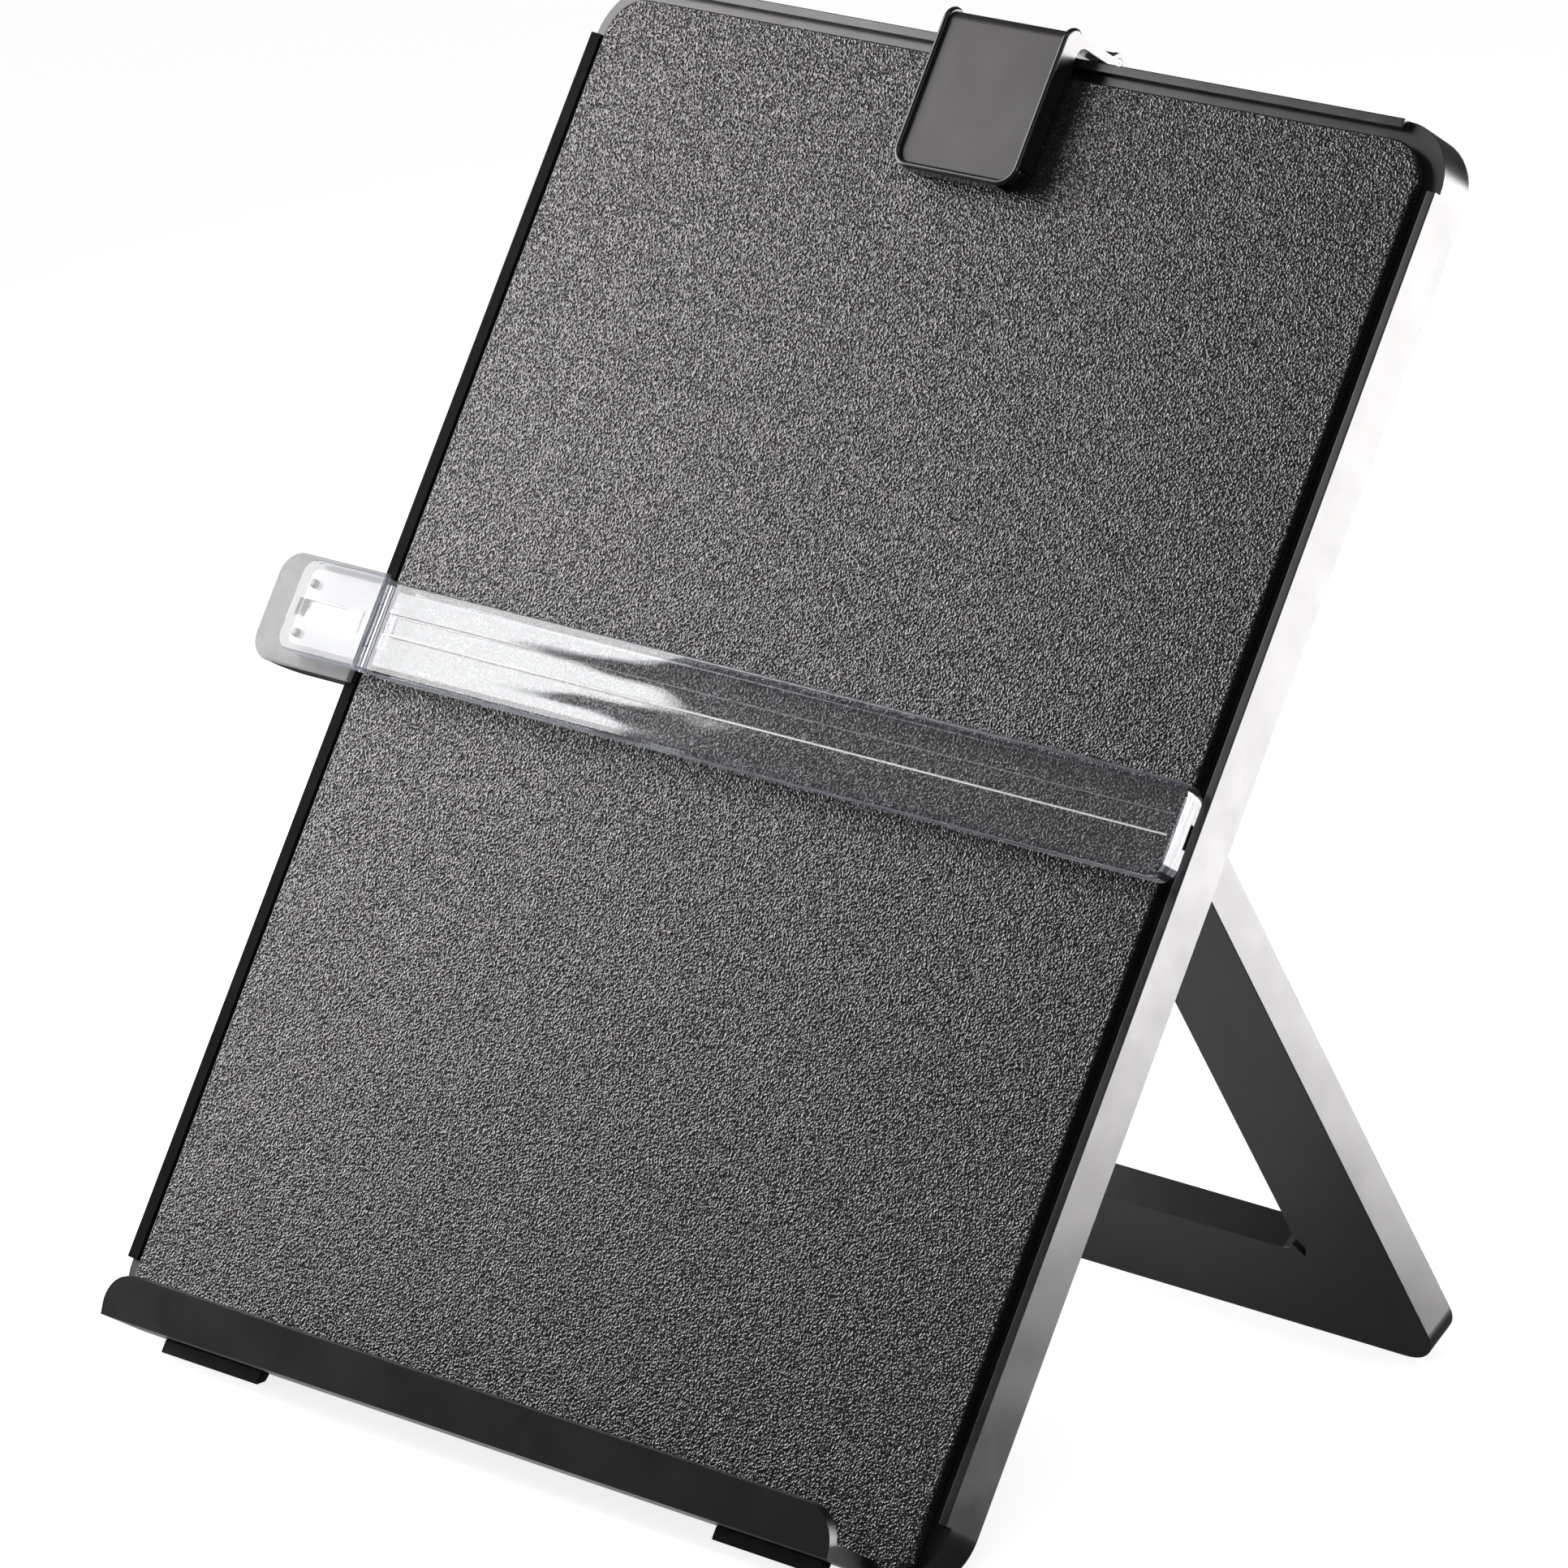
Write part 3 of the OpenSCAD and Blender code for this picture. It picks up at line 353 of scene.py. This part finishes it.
def softened(name, width_mm, segments=2, weight=None, reshape=None):
    """A CAD node with its hard edges rounded, standing in its place.

    reshape(bm) moves points first. weight(a, b) gives the share of the width that the
    edge from a to b takes."""
    body, material, slot_name = FINISH[name]
    mesh = bpy.data.meshes.new(name + "_look")
    bm = bmesh.new()
    bm.from_mesh(nodes[name].data)
    bmesh.ops.remove_doubles(bm, verts=bm.verts, dist=1e-6)
    bmesh.ops.dissolve_limit(bm, angle_limit=math.radians(0.5), verts=bm.verts, edges=bm.edges)
    if reshape:
        reshape(bm)
    if weight:
        share = bm.edges.layers.float.new("bevel_weight_edge")
        for edge in bm.edges:
            if len(edge.link_faces) == 2 and edge.calc_face_angle(0) > math.radians(HARD_EDGE):
                edge[share] = weight(*(board_place(v.co) for v in edge.verts))
    bm.to_mesh(mesh)
    bm.free()
    piece = bpy.data.objects.new(name + "_look", mesh)
    bpy.context.scene.collection.objects.link(piece)
    mesh.materials.clear()
    mesh.materials.append(material)
    bevel = piece.modifiers.new("Soft edges", "BEVEL")
    bevel.width = width_mm / 1000
    bevel.segments = segments
    bevel.limit_method = "WEIGHT" if weight else "ANGLE"
    bevel.angle_limit = math.radians(HARD_EDGE)
    bevel.harden_normals = False
    for polygon in mesh.polygons:
        polygon.use_smooth = True
    smooth = piece.modifiers.new("Normals", "WEIGHTED_NORMAL")
    smooth.keep_sharp = True
    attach(piece, body)
    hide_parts(name)
    return piece


def turns(count):
    """Angles spread evenly round a circle."""
    return [math.radians(360 * k / count) for k in range(count)]


def arc(centre, radius, start, stop, steps):
    """Points of an arc in v and w."""
    return [(centre[0] + radius * math.cos(math.radians(start + (stop - start) * k / steps)),
             centre[1] + radius * math.sin(math.radians(start + (stop - start) * k / steps)))
            for k in range(steps + 1)]


def outline(box, radii, inset=0.0, steps=6):
    """Points round a box with four corner radii, each drawn in by inset, in millimetres.

    The corners go round from the upper right one, over the upper left one."""
    u0, v0, u1, v1 = box
    corners = ((u1, v1, 0), (u0, v1, 90), (u0, v0, 180), (u1, v0, 270))
    points = []
    for (u, v, start), radius in zip(corners, radii):
        small = max(radius - inset, 0.02)
        su, sv = (1 if u == u1 else -1), (1 if v == v1 else -1)
        cu, cv = u - su * (inset + small), v - sv * (inset + small)
        for k in range(steps + 1):
            a = math.radians(start + 90 * k / steps)
            points.append((cu + small * math.cos(a), cv + small * math.sin(a)))
    return points


def block(rings, turn=1):
    """A closed block through rings of world points, with a flat face on each end.

    turn is -1 where the ends' points go round the other way."""
    bm = bmesh.new()
    loops = [[bm.verts.new(spot) for spot in ring] for ring in rings]
    for a, b in zip(loops, loops[1:]):
        for k in range(len(a)):
            n = (k + 1) % len(a)
            bm.faces.new((a[k], a[n], b[n], b[k]))
    bm.faces.new(loops[0][::-turn])
    bm.faces.new(loops[-1][::turn])
    return bm


def slab(box, radii, low, high, soft=0.0, under=0.0, rings=4):
    """A closed block over an outline, its upper and lower edges rounded."""
    quarter = [math.radians(90 * k / rings) for k in range(rings + 1)]
    levels = [(0.0, low)]
    if under:
        levels = [(under * (1 - math.sin(a)), low + under * (1 - math.cos(a))) for a in quarter]
    if soft:
        levels += [(soft * (1 - math.cos(a)), high - soft + soft * math.sin(a)) for a in quarter]
    else:
        levels.append((0.0, high))
    return block([[at(u, v, w) for u, v in outline(box, radii, inset)] for inset, w in levels])


def tube(u, w, v0, v1, radius, sides):
    """A closed bar along the board's up direction."""
    return block([[at(u + radius * math.cos(a), v, w + radius * math.sin(a)) for a in turns(sides)]
                  for v in (v0, v1)], turn=-1)


def prism(points_vw, u0, u1):
    """A closed block across the board, with an outline given in v and w."""
    return block([[at(u, v, w) for v, w in points_vw] for u in (u0, u1)], turn=-1)


def sweep(points, radius, sides=14):
    """A round bar with closed ends along board points."""
    path = [at(*p) for p in points]
    rings = []
    normal = None
    for k, spot in enumerate(path):
        ahead = (path[min(k + 1, len(path) - 1)] - path[max(k - 1, 0)]).normalized()
        if normal is None:
            normal = ahead.orthogonal().normalized()
        normal = (normal - ahead * normal.dot(ahead)).normalized()
        other = ahead.cross(normal)
        rings.append([spot + (normal * math.cos(a) + other * math.sin(a)) * radius / 1000
                      for a in turns(sides)])
    return block(rings)


def thing(name, bm, material):
    """An object from a bmesh, with its faces turned outwards."""
    bmesh.ops.recalc_face_normals(bm, faces=bm.faces)
    mesh = bpy.data.meshes.new(name)
    bm.to_mesh(mesh)
    bm.free()
    mesh.materials.append(material)
    obj = bpy.data.objects.new(name, mesh)
    bpy.context.scene.collection.objects.link(obj)
    return obj


def cut(name, bm, material):
    """A step of carve() that takes a block away."""
    return "DIFFERENCE", thing(name, bm, material)


def carve(obj, steps):
    """Cuts and joins blocks, in order, with their own materials on the new faces."""
    for operation, part in steps:
        tool = obj.modifiers.new("step", "BOOLEAN")
        tool.operation = operation
        tool.solver = "EXACT"
        tool.material_mode = "TRANSFER"
        tool.object = part
        bpy.context.view_layer.update()
        result = bpy.data.meshes.new_from_object(
            obj.evaluated_get(bpy.context.evaluated_depsgraph_get()))
        obj.modifiers.clear()
        obj.data = result
        bpy.data.objects.remove(part)
    return obj


def dressed(obj, body, stands_for=(), angle=35):
    """Smooth shading with crisp edges, on its body."""
    mesh = obj.data
    bm = bmesh.new()
    bm.from_mesh(mesh)
    bmesh.ops.remove_doubles(bm, verts=bm.verts, dist=2e-6)
    bmesh.ops.dissolve_degenerate(bm, edges=bm.edges, dist=2e-6)
    for face in bm.faces:
        face.smooth = True
    for edge in bm.edges:
        edge.smooth = len(edge.link_faces) == 2 and edge.calc_face_angle(0) < math.radians(angle)
    bm.to_mesh(mesh)
    bm.free()
    normals = obj.modifiers.new("Normals", "WEIGHTED_NORMAL")
    normals.keep_sharp = True
    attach(obj, body)
    if stands_for:
        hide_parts(*stands_for)
    return obj


def paint_walls(obj, material):
    """Gives the outer walls of a clear tray their own material."""
    obj.data.materials.append(material)
    low, high = ([f(board_place(v.co)[k] for v in obj.data.vertices) for k in range(3)]
                 for f in (min, max))
    for face in obj.data.polygons:
        spot = board_place(face.center)
        outer = min(abs(spot.y - low[1]), abs(spot.y - high[1]), abs(spot.x - high[0])) < 0.35
        if abs(face.normal.dot(OUT)) < 0.35 and outer:
            face.material_index = len(obj.data.materials) - 1


# ----------------------------------------------------------- guide and slider
# Places come from the solids that these pieces stand for, in board coordinates
(g_low, g_high), (c_low, c_high) = board_box("line_guide"), board_box("slider_cover")
(p_low, p_high), (r_low, r_high) = board_box("thumb_plate"), board_box("slider_rivets")
pin_low, pin_high = board_box("guide_hinge_pin")
pin_u = (pin_low[0] + pin_high[0]) / 2
pin_w = (pin_low[2] + pin_high[2]) / 2
g_back, g_front = g_low[2], g_high[2]
g_mid = (g_low[1] + g_high[1]) / 2

# Walls of the clear trays, and the gap from the pin's middle to each tray, in millimetres
tray_wall = 1.5
hinge_gap = 1.8
g_left = pin_u + hinge_gap
cover_end = pin_u - hinge_gap

# Line guide: a shallow tray, open below, with two scribed lines joined at their left ends
low_line, high_line = g_mid + 1 - 2.2, g_mid + 1 + 2.2
guide = thing("guide_strip", slab((g_left, g_low[1], g_high[0], g_high[1]), (3.4, 0.02, 0.02, 3.4),
                                  g_back, g_front, soft=0.55), GUIDE_PLASTIC)
cuts = [
    cut("hollow", slab((g_left - 4, g_low[1] + tray_wall, g_high[0] - tray_wall, g_high[1] - tray_wall),
                       (1.9, 0.02, 0.02, 1.9), g_back - 1, g_front - tray_wall, soft=0.35),
        GUIDE_PLASTIC),
    cut("notch", slab((g_high[0] - 2.5, g_mid - 2.6, g_high[0] + 1, g_mid + 2.6), SQUARE,
                      g_back - 1, g_back + 1), GUIDE_PLASTIC),
]
# The lower line gets the frosting with painted light; the upper line and the joining end get the frosting
# with painted shade
for line, deep, paint in ((low_line, 0.27, SCRIBE_PAINTED_LIT), (high_line, 0.2, SCRIBE_PAINTED_SHADE)):
    groove = ((line - deep, g_front + 0.1), (line, g_front - deep), (line + deep, g_front + 0.1))
    cuts.append(cut("scribe", prism(groove, g_left + 1, g_high[0] - 1.45), paint))
cuts.append(cut("scribe_end", slab((g_left + 1, low_line, g_left + 1.45, high_line), SQUARE,
                                   g_front - 0.25, g_front + 1), SCRIBE_PAINTED_SHADE))
carve(guide, cuts)
# The outer walls get the streaks of painted light
paint_walls(guide, WALL_CLEAR)
dressed(guide, "guide", ("line_guide",))


def barrel(name, v0, v1, side, body, material):
    """One knuckle of the hinge: a barrel on a low web that reaches into its part."""
    part = thing(name, tube(pin_u, pin_w, v0, v1, 1.5, 28), material)
    u0, u1 = sorted((pin_u, pin_u + side * 2.4))
    web = thing("web", slab((u0, v0, u1, v1), SQUARE, pin_w - 1.1, pin_w + 0.2), material)
    hole = tube(pin_u, pin_w, v0 - 1, v1 + 1, 0.75, 20)
    carve(part, [("UNION", web), cut("hole", hole, material)])
    return dressed(part, body)


barrel("guide_knuckle", g_mid - 4.6, g_mid + 4.6, 1, "guide", GUIDE_PLASTIC)
barrel("cover_knuckle_low", g_mid - 9.4, g_mid - 4.9, -1, "slider", COVER_PLASTIC)
barrel("cover_knuckle_high", g_mid + 4.9, g_mid + 9.1, -1, "slider", COVER_PLASTIC)

# Cover: a tray like the guide, with a window slot
cover = thing("slider_cover_look", slab((c_low[0], c_low[1], cover_end, c_high[1]),
                                        (0.02, 3.6, 3.6, 0.02), c_low[2], c_high[2], soft=0.4),
              COVER_PLASTIC)
window_right = c_low[0] + 17.2
carve(cover, [
    cut("hollow", slab((c_low[0] + tray_wall, c_low[1] + tray_wall, cover_end - tray_wall,
                        c_high[1] - tray_wall), (0.02, 2.1, 2.1, 0.02),
                       c_low[2] - 1, c_high[2] - tray_wall, soft=0.3), COVER_PLASTIC),
    cut("window", slab((c_low[0] + 2.2, g_mid - 1.9, window_right, g_mid + 1.9), (0.3,) * 4,
                       c_low[2] - 2, c_high[2] + 2), COVER_PLASTIC)])
# The outer walls get the streaks of painted light
paint_walls(cover, WALL_CLEAR)
dressed(cover, "slider", ("slider_cover",))

# Thumb plate under the cover, with its own window
plate = thing("thumb_plate_look", slab((p_low[0], p_low[1], p_high[0], p_high[1]),
                                       (0.02, 5.5, 5.5, 0.02), p_low[2], p_high[2],
                                       soft=0.45, under=0.3), PLATE_PLASTIC)
carve(plate, [cut("window", slab((c_low[0] + 0.6, g_mid - 1.9, window_right, g_mid + 3.2), (0.3,) * 4,
                                 p_low[2] - 2, p_high[2] + 2), COVER_PLASTIC)])
dressed(plate, "slider", ("thumb_plate",))

# Rivets: short domed heads at the top of the cover, as radius and rise
RIVET_HEAD = ((0.85, 0), (1.0, 0.15), (1.0, 0.9), (0.8, 1.12), (0.45, 1.25))
rivet_u = (r_low[0] + r_high[0]) / 2
rivet_foot = c_high[2] - 1.35
for which, v in enumerate((r_low[1] + 1, r_high[1] - 1)):
    head = block([[at(rivet_u + radius * math.cos(a), v + radius * math.sin(a), rivet_foot + rise)
                   for a in turns(24)] for radius, rise in RIVET_HEAD])
    dressed(thing("rivet_%d" % (which + 1), head, RIVET_STEEL), "slider",
            ("slider_rivets",))

# ----------------------------------------------------------------- paper clip
# Rimmed flap, side walls over the top of the board, press lever behind. Everything is in
# millimetres, as v up the board and w out of it, from the clip's and its pin's solids
l_high = board_box("clip_lever")[1]
cp_low = board_box("clip_pin")[0]
hub = (cp_low[1] + 1, cp_low[2] + 1)
clip_half = l_high[0]
front = l_high[2]
top = l_high[1] - 0.7
under = l_high[1] - 3.6
flap_end = hub[0] - 34.8
wall_back = front - 4.6
clip_wall = 1.4
inside = clip_half - clip_wall
rim = 0.7
flap_corner = 4.6
tray_corner = 3.2
bend_r = 3.4
bend_at = (top - bend_r, front - bend_r)
bend_steps = 12
arch_r = 2.2
arch_at = (under - arch_r, front - 7.2)
hub_r = 2.1

# The press lever's own directions in v and w: along it and across it
lean_back = math.radians(206)
along = (math.cos(lean_back), math.sin(lean_back))
beside = (-along[1], along[0])


def on_lever(x, y):
    """A point of the press lever, along it and across it, in v and w."""
    return (hub[0] + x * along[0] + y * beside[0], hub[1] + x * along[1] + y * beside[1])


def hub_bar(profile, sides):
    """A closed bar across the clip about its hub, through rings of place and radius."""
    return block([[at(u, hub[0] + r * math.cos(a), hub[1] + r * math.sin(a)) for a in turns(sides)]
                  for u, r in profile], turn=-1)


def tray_cutter(line, spread):
    """The block that hollows the flap. It follows a line between the side walls, is spread
    away from it on one side, and has round lower corners."""
    rows = []
    for (v, w), (dv, dw) in zip(line, spread):
        away = max(tray_corner - (v - line[0][0]), 0) if abs(w - line[0][1]) < 0.01 else 0
        drawn_in = tray_corner - math.sqrt(max(tray_corner ** 2 - away ** 2, 0.01))
        width = inside - drawn_in
        rows.append([at(u, v + a * dv, w + a * dw)
                     for u, a in ((-width, 0), (width, 0), (width, 1), (-width, 1))])
    return block(rows, turn=-1)


# The clip seen from its side: flap, bend, arm, hub, lever and back again under the arch
side_line = ([(flap_end, front - rim), (bend_at[0], front - rim)]
             + arc(bend_at, bend_r - rim, 90, 0, bend_steps)[1:]
             + [(top - 1, bend_at[1] - 2.5), (top - 1, hub[1] + 2.6)]
             + arc(hub, hub_r, 50, -64, 10)
             + [on_lever(x, y) for x, y in ((26.2, 2.1), (27, 1.3), (27, -0.2), (26.6, -0.6), (2.2, -0.6))]
             + arc(hub, hub_r, 175, 140, 3)
             + [(under, hub[1] + 1.7)] + arc(arch_at, arch_r, 0, 90, 8)
             + [(under - 6.3, front - 5), (under - 6.4, wall_back), (flap_end, wall_back)])

# The flap's tray: up its face with round corners, round the bend and back over the arm
tray_deep = 1
tray_start = flap_end + clip_wall
tray_face = [(tray_start + tray_corner * (1 - math.cos(math.radians(15 * k))), front - tray_deep)
             for k in range(7)] + [(bend_at[0], front - tray_deep)]
tray_line = (tray_face + arc(bend_at, bend_r - tray_deep, 90, 0, bend_steps)[1:]
             + [(top - tray_deep, hub[1] + 2.6)])
tray_spread = [(0, 4)] * len(tray_face) + arc((0, 0), 4, 90, 0, bend_steps)[1:] + [(4, 0)]

clip = thing("clip_look", prism(side_line, -clip_half, clip_half), CLIP_GLOSS)
cuts = []
# Round lower corners of the flap
for side in (-1, 1):
    bite = [(side * (clip_half + 1), flap_end - 1), (side * (clip_half - flap_corner), flap_end - 1)]
    for k in range(11):
        a = math.radians(9 * k)
        bite.append((side * (clip_half - flap_corner + flap_corner * math.sin(a)),
                     flap_end + flap_corner - flap_corner * math.cos(a)))
    bite.append((side * (clip_half + 1), flap_end + flap_corner))
    ends = [[at(u, v, w) for u, v in bite] for w in (front - 9, front + 3)]
    cuts.append(cut("bite", block(ends, turn=-1), CLIP_GLOSS))
cuts.append(cut("tray", tray_cutter(tray_line, tray_spread), CLIP_PLASTIC))
# The space behind the flap and inside the arm
cuts.append(cut("under", slab((-inside, tray_start, inside, top - 2.6),
                              (0.02, 0.02, tray_corner, tray_corner), front - 9, front - 2.6, soft=0.8),
                CLIP_GLOSS))
for name, line in (
        ("under_arm", [(top - 2.6, hub[1] + 2.2), (top - 2.6, front - 6),
                       (top - 6, front - 6), (top - 6, hub[1] + 2.2)]),
        ("hub_gap", [(top - 6.3, hub[1] - 6), (top + 4, hub[1] - 6),
                     (top + 4, hub[1] + 2.75), (top - 6.3, hub[1] + 2.75)]),
        ("lever_gap", [on_lever(-1, -2), on_lever(25.4, -2), on_lever(25.4, 0.7), on_lever(-1, 0.7)])):
    cuts.append(cut(name, prism(line, -inside, inside), CLIP_GLOSS))
# Grip grooves across the end of the lever
for k in range(6):
    groove = [on_lever(11.6 + 2.4 * k, 2.6), on_lever(11.9 + 2.4 * k, 1.75),
              on_lever(12.5 + 2.4 * k, 1.75), on_lever(12.8 + 2.4 * k, 2.6)]
    cuts.append(cut("grip", prism(groove, -clip_half + 3, clip_half - 3), CLIP_GLOSS))
cuts.append(cut("pin_hole", hub_bar(((-clip_half - 2, 1.02), (clip_half + 2, 1.02)), 24), CLIP_GLOSS))
carve(clip, cuts)
dressed(clip, "clip", ("clip_lever",), angle=50)

# Round bead on the rim, from one side wall's top round the flap to the other's
over = ([(top - 2.4, bend_at[1] - 2.2), (top - 1.3, bend_at[1] - 1.1)]
        + arc(bend_at, bend_r - rim, 0, 90, 10))
bead_r = flap_corner - rim
corner = [(clip_half - flap_corner + bead_r * math.cos(a), flap_end + flap_corner + bead_r * math.sin(a))
          for a in (math.radians(-9 * k) for k in range(11))]
rim_path = [(clip_half - rim, v, w) for v, w in over] + [(u, v, front - rim) for u, v in corner]
rim_path += [(-u, v, w) for u, v, w in reversed(rim_path)]
dressed(thing("clip_rim", sweep(rim_path, rim), CLIP_GLOSS), "clip")

# Thin bead round the arch of each side wall
thin = 0.34
arch = ([(under - 12, wall_back), (under - 6.4, front - 4.8)] + arc(arch_at, arch_r, 90, 0, 8)
        + [(under, hub[1] + 2.4)])
for which, u in (("left", -clip_half + thin), ("right", clip_half - thin)):
    dressed(thing("clip_arch_" + which, sweep([(u, v, w) for v, w in arch], thin, 10), CLIP_GLOSS),
            "clip")

# Pin with dimpled ends, as the distance in from the clip's side, and the radius
PIN_END = ((0.35, 0.3), (0.1, 0.32), (0.04, 0.8), (0.2, 0.98))
profile = [(-clip_half + inward, r) for inward, r in PIN_END]
profile += [(clip_half - inward, r) for inward, r in reversed(PIN_END)]
dressed(thing("clip_pin_look", hub_bar(profile, 20), PIN_STEEL), "clip", ("clip_pin",))

# --------------------------------------------- solids that keep their own shape
# Width of the rounding on each solid's hard edges, in millimetres
EDGES = {
    "front_panel": 0.45, "document_ledge": 0.4, "foot_left": 0.3, "foot_right": 0.3,
    "hinge_cap_left": 0.3, "hinge_cap_right": 0.3, "leg_frame": 0.5,
    "slider_hook": 0.3, "clip_carriage": 0.2, "clip_grip_pad": 0.2,
}
# Heights above the board's back that only the rails' tops, the rails and the rim reach, the
# rails' inner sides from the middle line, and the fall of the left rail's top, in millimetres
RAIL_TOP = 10.7
RAIL_FOOT = 9.5
RIM_TOP = 8.9
RAIL_INNER = 113.9
RAIL_SLANT = 0.8


def slant_left_rail(bm):
    """Lowers the inner edge of the left rail's top."""
    for vert in bm.verts:
        place = board_place(vert.co)
        if place.z > RAIL_TOP and abs(place.x + RAIL_INNER) < 0.05:
            vert.co -= OUT * (RAIL_SLANT / 1000)


def rail_round(a, b):
    """Round rail tops, moderately soft outer corners, and small edges elsewhere."""
    if min(a.z, b.z) > RAIL_FOOT and max(a.x, b.x) < -113:
        return 0.3
    if min(a.z, b.z) > RAIL_TOP:
        return 0.8
    if min(a.z, b.z) > RIM_TOP and max(abs(a.x), abs(b.x)) > 115.9:
        return 0.5
    return 0.25


softened("board_frame", 0.95, 4, weight=rail_round, reshape=slant_left_rail)
BUILT_ABOVE = ("board_frame", "line_guide", "slider_cover", "thumb_plate", "slider_rivets",
               "clip_lever", "clip_pin")
for name, (_, material, slot_name) in FINISH.items():
    if name in BUILT_ABOVE:
        continue
    if name in EDGES:
        softened(name, EDGES[name])
    else:
        nodes[name].data.materials.clear()
        nodes[name].data.materials.append(material)

# ---------------------------------------------------------------------- stage
lowest = min(c[2] for c in plain(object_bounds()))


def card(name, centre, toward, width, height, strength, across=RIGHT):
    """A rectangular soft light that faces a point, its width along across."""
    lamp = bpy.data.lights.new(name, "AREA")
    lamp.shape = "RECTANGLE"
    lamp.size = width
    lamp.size_y = height
    lamp.energy = strength
    holder = bpy.data.objects.new(name, lamp)
    back = (Vector(centre) - Vector(toward)).normalized()
    wide = (across - back * across.dot(back)).normalized()
    holder.matrix_world = placed(wide, back.cross(wide), back, centre)
    bpy.context.scene.collection.objects.link(holder)
    return holder


# Pale paper that catches the shadow, lifted to the white background for the camera alone
reach = 30
floor_mesh = bpy.data.meshes.new("floor")
floor_mesh.from_pydata([(-reach, -reach, 0), (reach, -reach, 0), (reach, reach, 0), (-reach, reach, 0)],
                       [], [(0, 1, 2, 3)])
floor = bpy.data.objects.new("floor", floor_mesh)
floor.location.z = lowest
floor.visible_glossy = False
bpy.context.scene.collection.objects.link(floor)
g = Graph("floor_paper")
paper = g.add("BsdfDiffuse", {"Color": g.mix_color(g.noise(3, 2, 0.5), grey(0.86), grey(0.89))})
lift = g.math("MULTIPLY", g.add("LightPath").outputs["Is Camera Ray"], 0.84)
bright = g.add("Emission", {"Color": (1, 1, 1, 1), "Strength": lift})
both = g.add("AddShader", {0: paper.outputs[0], 1: bright.outputs[0]})
floor_mesh.materials.append(g.surface(both.outputs[0]))
floor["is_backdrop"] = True

# Key soft box: its mirror image in the board reaches the guide's left half
card("key", at(-479.6, 237, 215.5), at(-40.6, 162, -12), 0.36, 0.60, 5.2,
     across=BOARD.to_3x3() @ Vector((0.29, -0.589, 0.755)))
# Low card behind on the right, that the side walls mirror
side_card = card("side", (0.62, 0.6, 0.08), (0.12, 0.03, 0.2), 0.75, 0.56, 24)
# Weak glow under the board, that the leg's front mirrors
leg_card = card("leg_glow", (-0.1, 0.0, -0.06), (0.08, 0.03, 0.12), 0.22, 0.16, 0.06)
# Glow on the right, that the panel mirrors when it is seen from its left
right_card = card("right", (1.21, -0.65, 0.73), (0.05, 0, 0.15), 0.32, 0.32, 2.5)
for mirrored_only in (side_card, leg_card, right_card):
    mirrored_only.visible_diffuse = False
# Weak overhead light for the floor and the tops
card("top", (0.9, -0.5, 1.9), (0, 0, 0.1), 0.9, 0.9, 6)

# A white background for the camera, and a dim grey one for all other rays
world = bpy.data.worlds.new("studio")
bpy.context.scene.world = world
world.use_nodes = True
tree = world.node_tree
tree.nodes.clear()
path = tree.nodes.new("ShaderNodeLightPath")
mix = tree.nodes.new("ShaderNodeMixShader")
end = tree.nodes.new("ShaderNodeOutputWorld")
tree.links.new(path.outputs["Is Camera Ray"], mix.inputs[0])
for socket, colour in ((1, (0.12, 0.12, 0.125, 1)), (2, (1, 1, 1, 1))):
    sky = tree.nodes.new("ShaderNodeBackground")
    sky.inputs["Color"].default_value = colour
    sky.inputs["Strength"].default_value = 1
    tree.links.new(sky.outputs[0], mix.inputs[socket])
tree.links.new(mix.outputs[0], end.inputs["Surface"])

# --------------------------------------------------------------------- camera
# The photo's camera, solved in board coordinates
ACROSS = BOARD.to_3x3() @ Vector((0.7307, 0.3467, -0.5881))
AHEAD = BOARD.to_3x3() @ Vector((-0.6553, 0.1145, -0.7466))
STANDS = at(1197.5, -61.2, 1363.5)
lens = bpy.data.cameras.new("camera")
lens.sensor_width = 36
lens.sensor_fit = "HORIZONTAL"
lens.lens = 204.97
lens.clip_end = 100
camera = bpy.data.objects.new("camera", lens)
back = -AHEAD.normalized()
high = back.cross(ACROSS.normalized()).normalized()
side = high.cross(back).normalized()
camera.matrix_world = placed(side, high, back, STANDS)
bpy.context.scene.collection.objects.link(camera)
bpy.context.scene.camera = camera
bpy.context.scene.view_settings.view_transform = "Standard"
